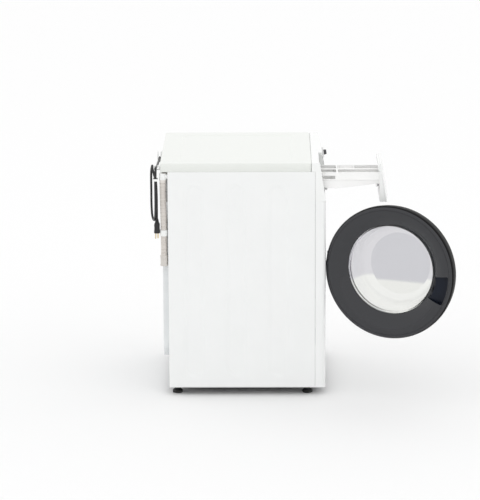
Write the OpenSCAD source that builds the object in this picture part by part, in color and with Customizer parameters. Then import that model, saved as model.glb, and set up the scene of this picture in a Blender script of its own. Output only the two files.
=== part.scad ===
// Front load washing machine, millimetres, +Z up, front toward -Y, +X to the right seen from the front.
// The origin is on the floor under the centre of the cabinet. The door stands open and the drawer is out.

/* [Cabinet] */
// Width across the side panels
body_w = 600; // [560:5:760]
// Height to the top of the top plate
body_h = 850; // [850:5:1100]
// Depth of the side panels
body_d = 561; // [540:1:700]
// Clear height under the cabinet
foot_h = 29; // [22:1:40]
// Thickness of the cabinet's sheet steel
sheet = 1.2; // [0.8:0.1:1.6]
// Thickness of the top plate
top_t = 30.5; // [26:0.5:40]
// Overhang of the top plate behind the back panel
top_over = 27; // [10:1:40]
// Outer radius of the front panel's upright corners
corner_r = 14; // [8:1:20]
// How far the front panel wraps round onto each side
front_wrap = 37; // [25:1:45]
// Width of the folded flanges
flange = 18; // [12:1:24]
// Width of a pressed rib in a side panel
rib_w = 74; // [50:1:90]
// Distance between the ribs
rib_pitch = 150; // [120:1:170]
// Depth of the ribs
rib_in = 3; // [2:0.5:5]
// Diameter of a foot pad
foot_d = 36; // [30:1:46]

/* [Control panel] */
// Height of the control panel
fascia_h = 137; // [120:1:150]
// How far the control panel leans back over its height
fascia_lean = 21.5; // [12:0.5:26]
// Bulge of the control panel at its middle
fascia_bulge = 10; // [6:1:14]
// Wall of the control panel
fascia_t = 3; // [2.5:0.5:4]
// Radius of the programme dial
dial_r = 20; // [16:1:26]
// Radius of the grip on the dial
dial_grip_r = 9.5; // [7:0.5:13]
// How far the dial stands out
dial_h = 16; // [12:1:22]
// Radius of a push button
button_r = 8; // [6:0.5:10]

/* [Drawer] */
// Width of the drawer front
drawer_w = 190; // [170:1:230]
// Width of the drawer's tray
tray_w = 135; // [110:1:165]
// Length of the tray
tray_l = 238; // [200:1:260]
// How far the drawer is out
drawer_travel = 215; // [150:1:220]
// Thickness of the drawer front
drawer_t = 24; // [18:1:28]
// Wall of the tray
tray_t = 2; // [1.5:0.5:3]

/* [Door] */
// Outer radius of the door ring
door_r = 240; // [220:1:260]
// Height of the door ring's centre
door_z = 468; // [460:1:480]
// Radius of the glass opening
glass_r = 160; // [150:1:165]
// Height of the bowl, gasket, tub and drum axis
axis_z = 476; // [470:1:484]
// How far the door ring stands in front of the cabinet
ring_h = 54; // [46:1:62]
// Depth of the glass bowl behind the front panel
bowl_in = 78; // [60:1:90]
// Thickness of the glass
glass_t = 5; // [4:0.5:7]
// Angle at which the door stands open
door_open = 112; // [90:1:112]

/* [Tub and drum] */
// Outer radius of the tub
tub_r = 252; // [246:1:256]
// Wall of the tub
tub_t = 4; // [3:0.5:5]
// Outer radius of the drum
drum_r = 235; // [222:1:236]
// Depth of the drum
drum_l = 326; // [280:1:330]
// Radius of the drum's mouth
drum_mouth = 168; // [164:1:174]
// Height of a lifter
lifter_h = 44; // [30:1:60]
// Radius of the drum shaft
shaft_r = 15; // [12:0.5:18]

/* [Hoses and cord] */
// Diameter of the drain hose
hose_d = 24; // [20:1:26]
// Diameter of the power cord
cord_d = 8; // [7:0.5:9]

/* [Hidden] */
$fn = 96;

left = -body_w / 2;
right = body_w / 2;
front = -body_d / 2;
back = body_d / 2;
top_z = body_h - top_t;
fascia_z = body_h - fascia_h;
fascia_back = front + 50.5;
seam_y = front + front_wrap;
gap = 0.5;
steel_flange_z = top_z - sheet;

// Control panel surface: a wide arc in plan, leaning back
lean_a = atan(fascia_lean / fascia_h);
fascia_r = (right * right + fascia_bulge * fascia_bulge) / (2 * fascia_bulge);
dial_x = right / 2;
dial_z = fascia_z + 89;
button_z = fascia_z + 30;
function fascia_y(x, z) = front + (z - fascia_z) * tan(lean_a) - fascia_bulge * (1 - pow(x / right, 2));

// Drawer
drawer_x0 = left + 10;
drawer_x1 = drawer_x0 + drawer_w;
drawer_z0 = door_z + door_r + 0.5;
drawer_z1 = body_h - 2;
drawer_back = front + drawer_t;
tray_x0 = left + 25;
tray_x1 = tray_x0 + tray_w;
tray_z1 = body_h - 38;
tray_y1 = drawer_back + tray_l;
runner_z = body_h - 65;
mid_x = tray_x0 + 68;
rim_w = 8;
house_x0 = tray_x0 - 6.5;
house_x1 = tray_x1 + 6.5;
house_z0 = tray_z1 - 66;
house_z1 = tray_z1 + 5;
house_t = 3;

// Door, closed, in heights over the front panel
hinge_x = -door_r - 1;
hinge_h = 12;
hinge_y = front - hinge_h;
mouth_r = glass_r + 30;
hook_x = door_r - 18;
pin_r = 4;
run = 0.05;

// Tub and drum
tub_y0 = front + 115.5;
tub_y1 = back - 72.5;
tub_seam = front + 250;
neck_r = glass_r + 18;
drum_y0 = tub_y0 + 17;
drum_y1 = drum_y0 + drum_l;
spring_x = 222;
spring_y = 40;
spring_z0 = axis_z + 176;
spring_z1 = spring_z0 + 118;
damper_x = 150;
damper_y = 20;

// Pump and filter
filter_x = 190;
filter_z = 92;
filter_w = 112;
filter_hgt = 84;

foot_x = right - 45;
foot_y0 = front + 65;
foot_y1 = back - 28;

// Drain hose, hanging from its elbow beside the back panel's left edge
hose_x = left + 15;
gland_at = [150, body_h - 50];
hose_route = [[hose_x, 298, 790], [hose_x, 298, 768], [hose_x, 297.8, 740], [hose_x, 297, 700],
    [hose_x, 296, 650], [hose_x, 295.5, 600], [hose_x, 295.5, 560], [hose_x, 295.5, 515]];

// Power cord: down from its gland in a slack loop, up to a clip under the top plate's rear edge,
// along to the second clip, then a hanging loop that ends in the plug; heights from the top
cord_points = [[150, 297, -92], [150, 299, -115], [150, 304, -142], [150, 307, -170], [150, 308, -210],
    [141, 308, -242], [117, 308, -256], [93, 308, -242], [84, 308, -210], [84, 309, -160],
    [84, 312, -100], [80, 318, -68], [68, 321, -52], [50, 322, -46], [0, 322, -47], [-60, 323, -44],
    [-130, 323, -39], [-200, 323, -31], [-250, 323, -24], [-278, 323, -25], [-291, 323, -44],
    [-293, 324, -70], [-293, 324, -110], [-293, 324, -150], [-290, 325, -185], [-276, 328, -207],
    [-255, 334, -210], [-236, 339, -195], [-230, 341, -160], [-230, 341, -110], [-231, 341, -65],
    [-236, 340, -38], [-248, 337, -20], [-262, 335, -15], [-273, 334, -24], [-279, 329, -42],
    [-281, 322, -70], [-281, 320, -120], [-280, 320, -170], [-280, 320, -202]];
cord_route = [for (p = cord_points) [p[0], p[1], p[2] + body_h]];
plug_at = cord_route[len(cord_route) - 1];

// ---- helpers ----
function lerp(a, b, t) = a + (b - a) * t;
function unit(v) = v / norm(v);
function arc(c, r, a0, a1, n) =
    [for (i = [0:n]) let (a = lerp(a0, a1, i / n)) c + r * [cos(a), sin(a)]];
function spline(a, b, c, d, t) =
    0.5 * (2 * b + (c - a) * t + (2 * a - 5 * b + 4 * c - d) * t * t + (3 * b - a - 3 * c + d) * t * t * t);
function smooth(p, n) = concat([for (i = [0:len(p) - 2]) for (k = [0:n - 1])
    spline(p[max(i - 1, 0)], p[i], p[i + 1], p[min(i + 2, len(p) - 1)], k / n)], [p[len(p) - 1]]);
function tangents(p) = [for (i = [0:len(p) - 1]) unit(p[min(i + 1, len(p) - 1)] - p[max(i - 1, 0)])];
function carry(t, i, n) =
    i >= len(t) ? [] : let (m = unit(n - (n * t[i]) * t[i])) concat([m], carry(t, i + 1, m));

// A tube of the given radius along the points of a path
module tube(path, r, sides, side = [1, 0.2, 0.1]) {
    t = tangents(path);
    n = carry(t, 0, side);
    last = len(path) - 1;
    polyhedron(
        points = [for (i = [0:last]) for (k = [0:sides - 1])
            path[i] + r * (cos(360 * k / sides) * n[i] + sin(360 * k / sides) * cross(t[i], n[i]))],
        faces = concat([[for (k = [0:sides - 1]) k]], [[for (k = [sides - 1:-1:0]) last * sides + k]],
            [for (i = [0:last - 1]) for (k = [0:sides - 1]) let (j = (k + 1) % sides)
                [i * sides + k, (i + 1) * sides + k, (i + 1) * sides + j, i * sides + j]]));
}

module box(a, b) {
    translate(a) cube(b - a);
}

// A rectangle with round corners, from corner a to corner b
module round_rect(a, b, r) {
    translate([a[0] + r, a[1]]) square([b[0] - a[0] - 2 * r, b[1] - a[1]]);
    translate([a[0], a[1] + r]) square([b[0] - a[0], b[1] - a[1] - 2 * r]);
    for (x = [a[0] + r, b[0] - r], y = [a[1] + r, b[1] - r]) translate([x, y]) circle(r);
}

// A drawing in X and Z, given depth along Y from y0 to y1
module upright(y0, y1) {
    translate([0, y1, 0]) rotate([90, 0, 0]) linear_extrude(y1 - y0) children();
}

// A drawing in Y and Z, given depth along X from x0 to x1
module sideways(x0, x1) {
    translate([x0, 0, 0]) rotate([90, 0, 90]) linear_extrude(x1 - x0) children();
}

// A rod along Y from y0 to y1
module rod_y(x, z, r, y0, y1) {
    translate([x, y0, z]) rotate([-90, 0, 0]) cylinder(r = r, h = y1 - y0);
}

// A profile of radius and height over the front panel, turned about a level axis at height z
module turned(z) {
    translate([0, front, z]) rotate([90, 0, 0]) rotate_extrude($fn = 180) children();
}

// Places its children in the closed door at the open angle
module at_door() {
    translate([hinge_x, hinge_y, 0]) rotate([0, 0, -door_open]) translate([-hinge_x, -hinge_y, 0])
        children();
}

module at_drawer() {
    translate([0, -drawer_travel, 0]) children();
}

// Local +Z points straight out of the control panel's face
module on_fascia(x, z) {
    translate([x, fascia_y(x, z), z]) rotate([90 - lean_a, 0, 0]) children();
}

module fascia_roll(inset) {
    translate([0, front - fascia_bulge, fascia_z]) rotate([-lean_a, 0, 0])
        translate([0, fascia_r, -60]) cylinder(r = fascia_r - inset, h = fascia_h + 120, $fn = 1440);
}

module fascia_part(inset, a, b) {
    intersection() {
        box([a[0], front - 60, a[1]], [b[0], fascia_back, b[1]]);
        fascia_roll(inset);
    }
}

// ---- cabinet ----
module rib_bar(i, grow, x0, x1) {
    r = rib_w / 2 + grow;
    y = 38 + i * rib_pitch;
    z0 = 66 + rib_w / 2;
    z1 = top_z - 45 - rib_w / 2;
    sideways(x0, x1) {
        translate([y - r, z0]) square([2 * r, z1 - z0]);
        for (z = [z0, z1]) translate([y, z]) circle(r);
    }
}

// The right side panel; the left one is its mirror image
module side_panel() {
    y0 = seam_y + gap;
    color("white") difference() {
        union() {
            box([right - sheet, y0, foot_h], [right, back, top_z]);
            box([right - flange, y0, foot_h], [right, y0 + sheet, top_z]);
            box([right - flange, back - sheet, foot_h], [right, back, top_z]);
            box([right - flange, y0, steel_flange_z], [right, back, top_z]);
            box([right - flange, y0, foot_h], [right, back, foot_h + sheet]);
            for (i = [-1:1]) rib_bar(i, sheet, right - sheet - rib_in, right - sheet);
        }
        for (i = [-1:1]) rib_bar(i, 0, right - rib_in, right + 1);
    }
}

module side_panel_right() {
    side_panel();
}

module side_panel_left() {
    mirror([1, 0, 0]) side_panel();
}

module cover_outline(grow) {
    round_rect([left + 35 - grow, 128 - grow], [right - 35 + grow, 690 + grow], 60 + grow);
}

module back_panel() {
    edge = right - flange - gap;
    color("silver") difference() {
        union() {
            box([-edge, back - sheet, foot_h + sheet], [edge, back, steel_flange_z]);
            for (s = [-1, 1]) translate([s * (edge + 1), 0, 0])
                box([-11, back - 2 * sheet, foot_h + 20], [11, back - sheet, top_z - 20]);
        }
        upright(back - 20, back + 20) cover_outline(-20);
        for (x = [right - 100, right - 55]) rod_y(x, top_z - 50, 15, back - 20, back + 20);
        rod_y(gland_at[0], gland_at[1], 7, back - 20, back + 20);
        rod_y(hose_x, 802, 9.7, back - 20, back + 20);
    }
}

module rear_cover() {
    depth = 20.5;
    color("whitesmoke") difference() {
        upright(back, back + depth) cover_outline(0);
        upright(back - 1, back + depth - sheet) cover_outline(-sheet);
        for (z = [200:22:620], x = [-120, 120]) translate([x, back + depth, z])
            cube([90, 10, 6], center = true);
    }
}

module base_pan() {
    z0 = foot_h + sheet;
    wall = 3;
    half = right - sheet - rib_in - gap;
    color("dimgray") difference() {
        union() {
            difference() {
                box([-half, seam_y + 2, z0], [half, back - 3 * sheet, z0 + 48]);
                box([wall - half, seam_y + 2 + wall, z0 + wall],
                    [half - wall, back - 3 * sheet - wall, z0 + 60]);
            }
            for (x = [-foot_x, foot_x], y = [foot_y0, foot_y1])
                translate([x, y, z0]) cylinder(r = 15, h = 30);
            for (x = [-damper_x, damper_x]) translate([x, damper_y, z0]) cylinder(r = 17, h = 18);
            for (x = [filter_x - 22, filter_x + 22])
                box([x - 4, front + 60, z0], [x + 4, front + 120, z0 + 20]);
        }
        box([filter_x - 36, seam_y + 1, filter_z - 36], [filter_x + 36, seam_y + 3 + wall, z0 + 60]);
        for (x = [-foot_x, foot_x], y = [foot_y0, foot_y1])
            translate([x, y, foot_h - 1]) cylinder(r = 5 + 0.3, h = 60);
    }
}

// Plan of the front panel's wrap, drawn smaller by inset and longer by reach behind
module wrap_plan(inset, reach) {
    y1 = seam_y + reach;
    translate([left + inset, front + corner_r]) square([body_w - 2 * inset, y1 - front - corner_r]);
    translate([left + corner_r, front + inset])
        square([body_w - 2 * corner_r, y1 - front - inset]);
    for (x = [left + corner_r, right - corner_r])
        translate([x, front + corner_r]) circle(corner_r - inset);
}

module front_panel() {
    h = fascia_z - foot_h;
    color("white") difference() {
        union() {
            translate([0, 0, foot_h]) linear_extrude(h) difference() {
                wrap_plan(0, 0);
                wrap_plan(sheet, 10);
            }
            for (z = [foot_h, fascia_z - sheet]) translate([0, 0, z]) linear_extrude(sheet) difference() {
                wrap_plan(0, 0);
                translate([left + flange, front + flange]) square([body_w - 2 * flange, front_wrap]);
            }
            rod_y(0, axis_z, mouth_r + sheet, front, front + 14);
        }
        rod_y(0, axis_z, mouth_r, front - 1, front + 20);
        upright(front - 1, front + 10) round_rect([filter_x - filter_w / 2, filter_z - filter_hgt / 2],
            [filter_x + filter_w / 2, filter_z + filter_hgt / 2], 2);
        box([hook_x - 9, front - 1, door_z - 16], [hook_x + 9, front + 10, door_z + 16]);
        box([drawer_x0 - 1.5, front - 1, drawer_z0 - 0.7],
            [drawer_x1 + 1.5, drawer_back + 0.7, fascia_z + 1]);
    }
}

module top_plan(inset) {
    round_rect([left + inset, fascia_back + inset], [right - inset, back + top_over - inset], 10);
}

module top_plate() {
    wall = 6;
    color("white") difference() {
        translate([0, 0, top_z]) linear_extrude(top_t) top_plan(0);
        translate([0, 0, top_z - 1]) linear_extrude(top_t - 3) top_plan(wall);
        translate([0, 0, body_h - 1.2]) linear_extrude(5)
            round_rect([left + 80, front + 118], [right - 55, back - 40], 22);
    }
}

module top_board() {
    color("burlywood") translate([0, 0, body_h - 4 - 14]) linear_extrude(14) top_plan(6.3);
}

module top_rails() {
    z1 = body_h - 18;
    for (y = [fascia_back + 34, back - 40]) color("silver") difference() {
        box([left + 7, y - 15, top_z], [right - 7, y + 15, z1]);
        box([left, y - 13.5, top_z - 1], [right, y + 13.5, z1 - 1.5]);
    }
}

// ---- control panel ----
button_places = [[right - 85, dial_z], [right - 45, dial_z], [-30, button_z], [30, button_z]];
display_x0 = left + 225;
display_x1 = dial_x - 65;

module control_panel() {
    cut_x0 = drawer_x0 - 1;
    cut_x1 = drawer_x1 + 1.5;
    color("white") difference() {
        union() {
            difference() {
                fascia_part(0, [left, fascia_z], [right, body_h]);
                fascia_part(fascia_t, [drawer_x1 + 6, fascia_z + fascia_t],
                    [right - fascia_t, body_h - fascia_t]);
                box([drawer_x1 + 6, fascia_back - 6, fascia_z + fascia_t],
                    [right - fascia_t, fascia_back + 1, body_h - fascia_t]);
            }
            intersection() {
                fascia_part(1, [left, fascia_z], [right, body_h]);
                union() {
                    for (x = [drawer_x1 + 20, right - 14], z = [fascia_z + 14, body_h - 12])
                        rod_y(x, z, 4, front - 20, front + 34);
                    on_fascia(dial_x, dial_z) translate([0, 0, -12]) cylinder(r = 8, h = 11);
                }
            }
        }
        box([cut_x0, front - 60, fascia_z - 1], [cut_x1, drawer_back + 0.4, body_h + 1]);
        box([cut_x0, front - 60, fascia_z + fascia_t], [cut_x1, fascia_back + 1, body_h - fascia_t]);
        box([left - 1, seam_y, fascia_z - 1], [right + 1, fascia_back + 1, top_z + gap]);
        on_fascia(dial_x, dial_z) translate([0, 0, -30]) cylinder(r = 3 + run, h = 40);
        for (p = button_places) on_fascia(p[0], p[1]) translate([0, 0, -8])
            cylinder(r = button_r + 0.4, h = 12);
        difference() {
            fascia_part(-5, [display_x0 - 0.3, fascia_z + 50], [display_x1 + 0.3, fascia_z + 119]);
            fascia_roll(2.2);
        }
    }
}

module display_window() {
    color("dimgray") difference() {
        fascia_part(-1.2, [display_x0, fascia_z + 50.3], [display_x1, fascia_z + 118.7]);
        fascia_roll(2);
    }
}

module control_board() {
    y0 = front + 34;
    color("darkgreen") {
        box([drawer_x1 + 10, y0, fascia_z + 8], [right - 8, y0 + 2, body_h - 8]);
        box([drawer_x1 + 60, y0 - 12, fascia_z + 55], [dial_x - 75, y0, fascia_z + 115]);
        for (x = [-20, 40, 100]) box([x, y0 + 2, fascia_z + 20], [x + 34, y0 + 12, fascia_z + 50]);
    }
}

module program_dial() {
    color("whitesmoke") on_fascia(dial_x, dial_z) difference() {
        union() {
            translate([0, 0, 1]) cylinder(r = dial_r, h = 5);
            translate([0, 0, 5]) cylinder(r = dial_grip_r, h = dial_h - 5);
            translate([0, 0, -14]) cylinder(r = 3, h = 16);
        }
        translate([0, 0, dial_h - 0.8]) cylinder(r = dial_grip_r - 2.5, h = 2);
        translate([-0.8, dial_r - 9, 5.2]) cube([1.6, 7, 3]);
    }
}

module button_at(i, tint) {
    p = button_places[i];
    color(tint) on_fascia(p[0], p[1]) {
        translate([0, 0, -9]) cylinder(r = button_r, h = 11.5);
        translate([0, 0, -fascia_t - 2.2]) cylinder(r = button_r + 2, h = 1.5);
    }
}

module power_button() {
    button_at(0, "silver");
}

module start_button() {
    button_at(1, "silver");
}

module temp_button() {
    button_at(2, "whitesmoke");
}

module spin_button() {
    button_at(3, "whitesmoke");
}

// ---- detergent drawer ----
module dispenser_housing() {
    y0 = drawer_back + 0.3;
    y1 = tray_y1 + 14;
    color("lightgray") {
        difference() {
            box([house_x0, y0, house_z0], [house_x1, y1, house_z1]);
            box([house_x0 + house_t, y0 - 1, house_z0 + house_t],
                [house_x1 - house_t, y1 - house_t, house_z1 - house_t]);
        }
        box([house_x0 + house_t, y0, runner_z - 3.3], [tray_x0 - 0.5, y1 - house_t, runner_z - 0.3]);
        box([tray_x1 + 0.5, y0, runner_z - 3.3], [house_x1 - house_t, y1 - house_t, runner_z - 0.3]);
        difference() {
            rod_y(house_x1 - 30, house_z0 + 40, 13, y1, y1 + 24);
            rod_y(house_x1 - 30, house_z0 + 40, 10, y1 - 1, y1 + 25);
        }
    }
}

module drawer_front() {
    skin = 3;
    color("white") at_drawer() difference() {
        intersection() {
            box([drawer_x0, front - 60, drawer_z0], [drawer_x1, drawer_back, drawer_z1]);
            fascia_roll(0);
        }
        intersection() {
            box([drawer_x0 + skin, front - 60, drawer_z0 + skin], [drawer_x1 - skin, drawer_back + 1,
                drawer_z1 - skin]);
            fascia_roll(skin);
        }
        difference() {
            box([drawer_x0 - 1, front - 60, drawer_z0 - 1],
                [drawer_x0 + 0.9, drawer_back + 1, drawer_z1 - 2]);
            fascia_roll(5);
            difference() {
                box([drawer_x0 - 2, front - 70, drawer_z0 - 2],
                    [drawer_x0 + 2, drawer_back + 2, drawer_z1 + 2]);
                fascia_roll(4.1);
            }
        }
    }
}

module tray_profile(y0, y1, rise) {
    polygon([[y0, tray_z1 - 39 + rise], [y1 - 82, tray_z1 - 58 + rise], [y1, tray_z1 - 50 + rise],
        [y1, tray_z1 + 40], [y0, tray_z1 + 40]]);
}

module drawer_tray() {
    y0 = drawer_back - 2.5;
    cross_y = tray_y1 - 87;
    color("whitesmoke") at_drawer() {
        difference() {
            intersection() {
                sideways(tray_x0, tray_x1) tray_profile(drawer_back, tray_y1, 0);
                box([tray_x0, y0, 0], [tray_x1, tray_y1, tray_z1]);
            }
            for (x = [[tray_x0 + tray_t, mid_x - 1], [mid_x + 1, tray_x1 - tray_t]]) {
                intersection() {
                    sideways(x[0], x[1]) tray_profile(drawer_back, tray_y1, 2.5);
                    box([x[0], drawer_back + tray_t, 0], [x[1], cross_y - 3, body_h + 10]);
                }
                intersection() {
                    sideways(x[0], x[1]) tray_profile(drawer_back, tray_y1, 2.5);
                    box([x[0], cross_y + 3, 0], [x[1], tray_y1 - tray_t, body_h + 10]);
                }
            }
            box([tray_x0 - 1, tray_y1 - 80, tray_z1 - 23],
                [tray_x0 + tray_t + 0.5, tray_y1 - 34, tray_z1 - 12]);
        }
        box([mid_x - rim_w, drawer_back, tray_z1 - 2], [mid_x + rim_w, tray_y1, tray_z1]);
        box([tray_x0, drawer_back, tray_z1 - 2], [tray_x0 + rim_w - 1, tray_y1, tray_z1]);
        intersection() {
            box([drawer_x0 + 3.3, y0, drawer_z0 + 3.3], [drawer_x1 - 3.3, drawer_back, drawer_z1 - 3.3]);
            fascia_roll(3.3);
        }
        box([tray_x0 - 3, drawer_back, runner_z], [tray_x0, tray_y1 - 4, runner_z + 3]);
        box([tray_x1, drawer_back, runner_z], [tray_x1 + 3, tray_y1 - 4, runner_z + 3]);
        box([tray_x0 + 3, drawer_back, tray_z1 - 52], [tray_x0 + 13, drawer_back + 14, tray_z1 - 36]);
    }
}

module siphon_cap() {
    x0 = mid_x + rim_w + 0.6;
    x1 = tray_x1 - tray_t - 0.6;
    y0 = tray_y1 - 150;
    y1 = tray_y1 - 91;
    floor_z = tray_z1 - 47.4;
    color("whitesmoke") at_drawer() difference() {
        union() {
            box([x0, y0, tray_z1 - 12], [x1, y1, tray_z1 - 1]);
            for (y = [y0 + 12, y1 - 12]) translate([(x0 + x1) / 2, y, floor_z]) cylinder(r = 6, h = 40);
        }
        box([x0 + 2, y0 + 2, tray_z1 - 9], [x1 - 2, y1 - 2, tray_z1]);
        translate([x1 - 8, y1 - 6, tray_z1 - 20]) cylinder(r = 3, h = 30);
    }
}

module inlet_valve(x, tint) {
    z = top_z - 50;
    color(tint) difference() {
        union() {
            rod_y(x, z, 13.2, back - 1.5, back + 16);
            box([x - 17, back - 44, z - 20], [x + 17, back - 3, z + 20]);
            rod_y(x, z, 13.9, back - 4, back - 1.2);
            rod_y(x, z - 6, 7, back - 62, back - 43);
        }
        rod_y(x, z, 9, back - 20, back + 20);
    }
}

module inlet_valve_hot() {
    inlet_valve(right - 100, "firebrick");
}

module inlet_valve_cold() {
    inlet_valve(right - 55, "royalblue");
}

// ---- tub and drum ----
module tub_rear() {
    hub_r = shaft_r + 30;
    color("gainsboro") difference() {
        union() {
            rod_y(0, axis_z, tub_r, tub_seam, tub_y1);
            rod_y(0, axis_z, hub_r, tub_y1 - 12, tub_y1 + 38);
            for (s = [-1, 1]) {
                box([s * spring_x - 13, spring_y - 10, axis_z + 60],
                    [s * spring_x + 13, spring_y + 10, spring_z0]);
                box([s * damper_x - 11, damper_y - 11, axis_z - tub_r + 38],
                    [s * damper_x + 11, damper_y + 11, axis_z - 150]);
            }
            rod_y(0, axis_z, tub_r + 7, tub_seam, tub_seam + 8);
        }
        rod_y(0, axis_z, tub_r - tub_t, tub_seam - 1, tub_y1 - 12);
        difference() {
            rod_y(0, axis_z, tub_r - tub_t, tub_seam - 1, tub_y1 - 6);
            rod_y(0, axis_z, hub_r, tub_y1 - 12, tub_y1);
        }
        rod_y(0, axis_z, shaft_r + 1.5, tub_y1 - 20, tub_y1 + 50);
        rod_y(0, axis_z, shaft_r + 17, tub_y1 - 13, tub_y1 + 4);
        rod_y(0, axis_z, shaft_r + 13, tub_y1 + 22, tub_y1 + 39);
        for (s = [-1, 1]) rod_y(s * 32, axis_z - tub_r + 11.5 + 2.2, 4.1, tub_y1 - 20, tub_y1 + 10);
    }
}

module bearings() {
    for (b = [[shaft_r + 17, tub_y1 - 12, tub_y1 + 4], [shaft_r + 13, tub_y1 + 22, tub_y1 + 38]])
        color("silver") difference() {
            rod_y(0, axis_z, b[0], b[1], b[2]);
            rod_y(0, axis_z, shaft_r, b[1] - 1, b[2] + 1);
        }
}

module tub_front() {
    color("gainsboro") difference() {
        union() {
            rod_y(0, axis_z, tub_r, tub_y0, tub_seam);
            rod_y(0, axis_z, tub_r + 7, tub_seam - 8, tub_seam);
            rod_y(0, axis_z, neck_r + 4, tub_y0 - 12, tub_y0);
        }
        rod_y(0, axis_z, tub_r - tub_t, tub_y0 + tub_t, tub_seam + 1);
        rod_y(0, axis_z, neck_r, tub_y0 - 20, tub_y0 + 20);
    }
}

// Ring segments of cast iron on the tub's face, above and below the neck
module counterweights() {
    r1 = tub_r - 4;
    r0 = neck_r + 16;
    color("dimgray") difference() {
        rod_y(0, axis_z, r1, tub_y0 - 46, tub_y0);
        rod_y(0, axis_z, r0, tub_y0 - 60, tub_y0 + 1);
        upright(tub_y0 - 60, tub_y0 + 1) for (s = [-1, 1])
            translate([0, axis_z]) polygon([[0, 0], s * [300, 190], s * [300, -190]]);
    }
}

module door_gasket() {
    r = mouth_r - 0.3;
    n = neck_r + 4.3;
    g = glass_r - 4.4;
    h1 = front - tub_y0;
    color("gray") turned(axis_z) polygon([[r, -0.5], [r, -17], [r - 3, -30], [r - 1, -46], [r - 2, -66],
        [n + 1, -78], [n + 3, h1 + 20], [n + 3, h1 + 1], [n, h1 + 1], [n, h1 + 16], [n - 4, -76],
        [r - 6, -64],
        [r - 4, -46], [r - 7, -31], [g + 6, -26], [g, -15], [g + 1.5, -13.5], [g + 8, -21], [r - 3, -19],
        [r - 3, -0.5]]);
}

module gasket_clamp() {
    color("silver") difference() {
        rod_y(0, axis_z, neck_r + 9.5, tub_y0 - 10, tub_y0 - 4);
        rod_y(0, axis_z, neck_r + 7.6, tub_y0 - 11, tub_y0 - 3);
    }
}

module heater() {
    z = axis_z - tub_r + 11.5 + 2.2;
    color("silver") {
        for (s = [-1, 1]) rod_y(s * 32, z, 4, tub_seam, tub_y1 + 8);
        box([-36, tub_seam - 8, z - 4], [36, tub_seam, z + 1.5]);
    }
}

module motor_stator() {
    color("peru") difference() {
        union() {
            rod_y(0, axis_z, 92, tub_y1 + 4, tub_y1 + 30);
            for (a = [0:20:340]) translate([0, tub_y1 + 17, axis_z]) rotate([0, a, 0])
                translate([97, 0, 0]) cube([20, 20, 14], center = true);
            for (a = [0:60:300]) translate([0, tub_y1, axis_z]) rotate([0, a, 0]) translate([75, 0, 0])
                rotate([-90, 0, 0]) cylinder(r = 6, h = 6);
        }
        rod_y(0, axis_z, 62, tub_y1 + 3, tub_y1 + 40);
    }
}

module motor_rotor() {
    color("silver") difference() {
        union() {
            rod_y(0, axis_z, 116, tub_y1 + 5, tub_y1 + 45);
            rod_y(0, axis_z, 24, tub_y1 + 45, tub_y1 + 52);
        }
        rod_y(0, axis_z, 112, tub_y1 + 4, tub_y1 + 42);
        rod_y(0, axis_z, shaft_r - run, tub_y1 + 30, tub_y1 + 60);
        for (a = [0:45:315]) translate([0, tub_y1 + 40, axis_z]) rotate([0, a, 0]) translate([72, 0, 0])
            rotate([-90, 0, 0]) cylinder(r = 13, h = 12);
    }
}

module drum_basket() {
    color("silver") difference() {
        rod_y(0, axis_z, drum_r, drum_y0, drum_y1);
        rod_y(0, axis_z, drum_r - 1, drum_y0 + 1, drum_y1 - 1);
        rod_y(0, axis_z, drum_mouth, drum_y0 - 1, drum_y0 + 5);
    }
    color("silver") difference() {
        rod_y(0, axis_z, drum_mouth, drum_y0 - 3, drum_y0 + 8);
        rod_y(0, axis_z, drum_mouth - 2, drum_y0 - 4, drum_y0 + 9);
    }
}

module drum_lifters() {
    foot = drum_r - 1.2;
    for (a = [90, 210, 330]) color("lightgray") intersection() {
        rod_y(0, axis_z, foot, drum_y0 + 20, drum_y1 - 20);
        translate([0, drum_y1 - 20, axis_z]) rotate([90, 0, 0]) rotate([0, 0, a])
            linear_extrude(drum_l - 40)
                polygon([[foot + 6, -36], [foot + 6, 36], [foot - lifter_h + 6, 15], [foot - lifter_h, 8],
                    [foot - lifter_h, -8], [foot - lifter_h + 6, -15]]);
    }
}

module drum_spider() {
    color("gray") {
        rod_y(0, axis_z, 40, drum_y1, tub_y1 - 14);
        rod_y(0, axis_z, shaft_r - run, drum_y1, tub_y1 + 58);
        for (a = [30, 150, 270]) translate([0, drum_y1, axis_z]) rotate([0, a, 0]) {
            translate([30, 0, -16]) cube([180, 7, 32]);
            translate([30, 6, -4]) cube([140, 6, 8]);
        }
    }
}

// ---- suspension ----
coil_turns = 7;
coil_r = 12;
wire_r = 1.7;
function spring_path(z0, z1) = concat([[0, 0, z0], [0, 0, z0 + 7]],
    [for (i = [0:12 * coil_turns]) let (a = 30 * i, grow = min(1, i / 4, (12 * coil_turns - i) / 4))
        [coil_r * grow * cos(a), coil_r * grow * sin(a), lerp(z0 + 10, z1 - 10, i / (12 * coil_turns))]],
    [[0, 0, z1 - 7], [0, 0, z1]]);

module suspension_springs() {
    for (s = [-1, 1]) color("silver") translate([s * spring_x, spring_y, 0])
        tube(spring_path(spring_z0, spring_z1), wire_r, 6);
}

module spring_hangers() {
    wall = right - sheet - rib_in;
    for (side = [0, 1]) mirror([side, 0, 0]) color("silver") {
        box([spring_x - 14, spring_y - 12, spring_z1], [wall, spring_y + 12, spring_z1 + 3]);
        box([wall - 3, spring_y - 12, spring_z1 - 20], [wall, spring_y + 12, spring_z1 + 30]);
    }
}

damper_z0 = foot_h + sheet + 18;
module damper_cylinders() {
    for (x = [-damper_x, damper_x]) color("dimgray") translate([x, damper_y, damper_z0]) difference() {
        cylinder(r = 15, h = 105);
        translate([0, 0, 4]) cylinder(r = 12.5, h = 98);
        cylinder(r = 6.5, h = 110);
    }
}

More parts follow.
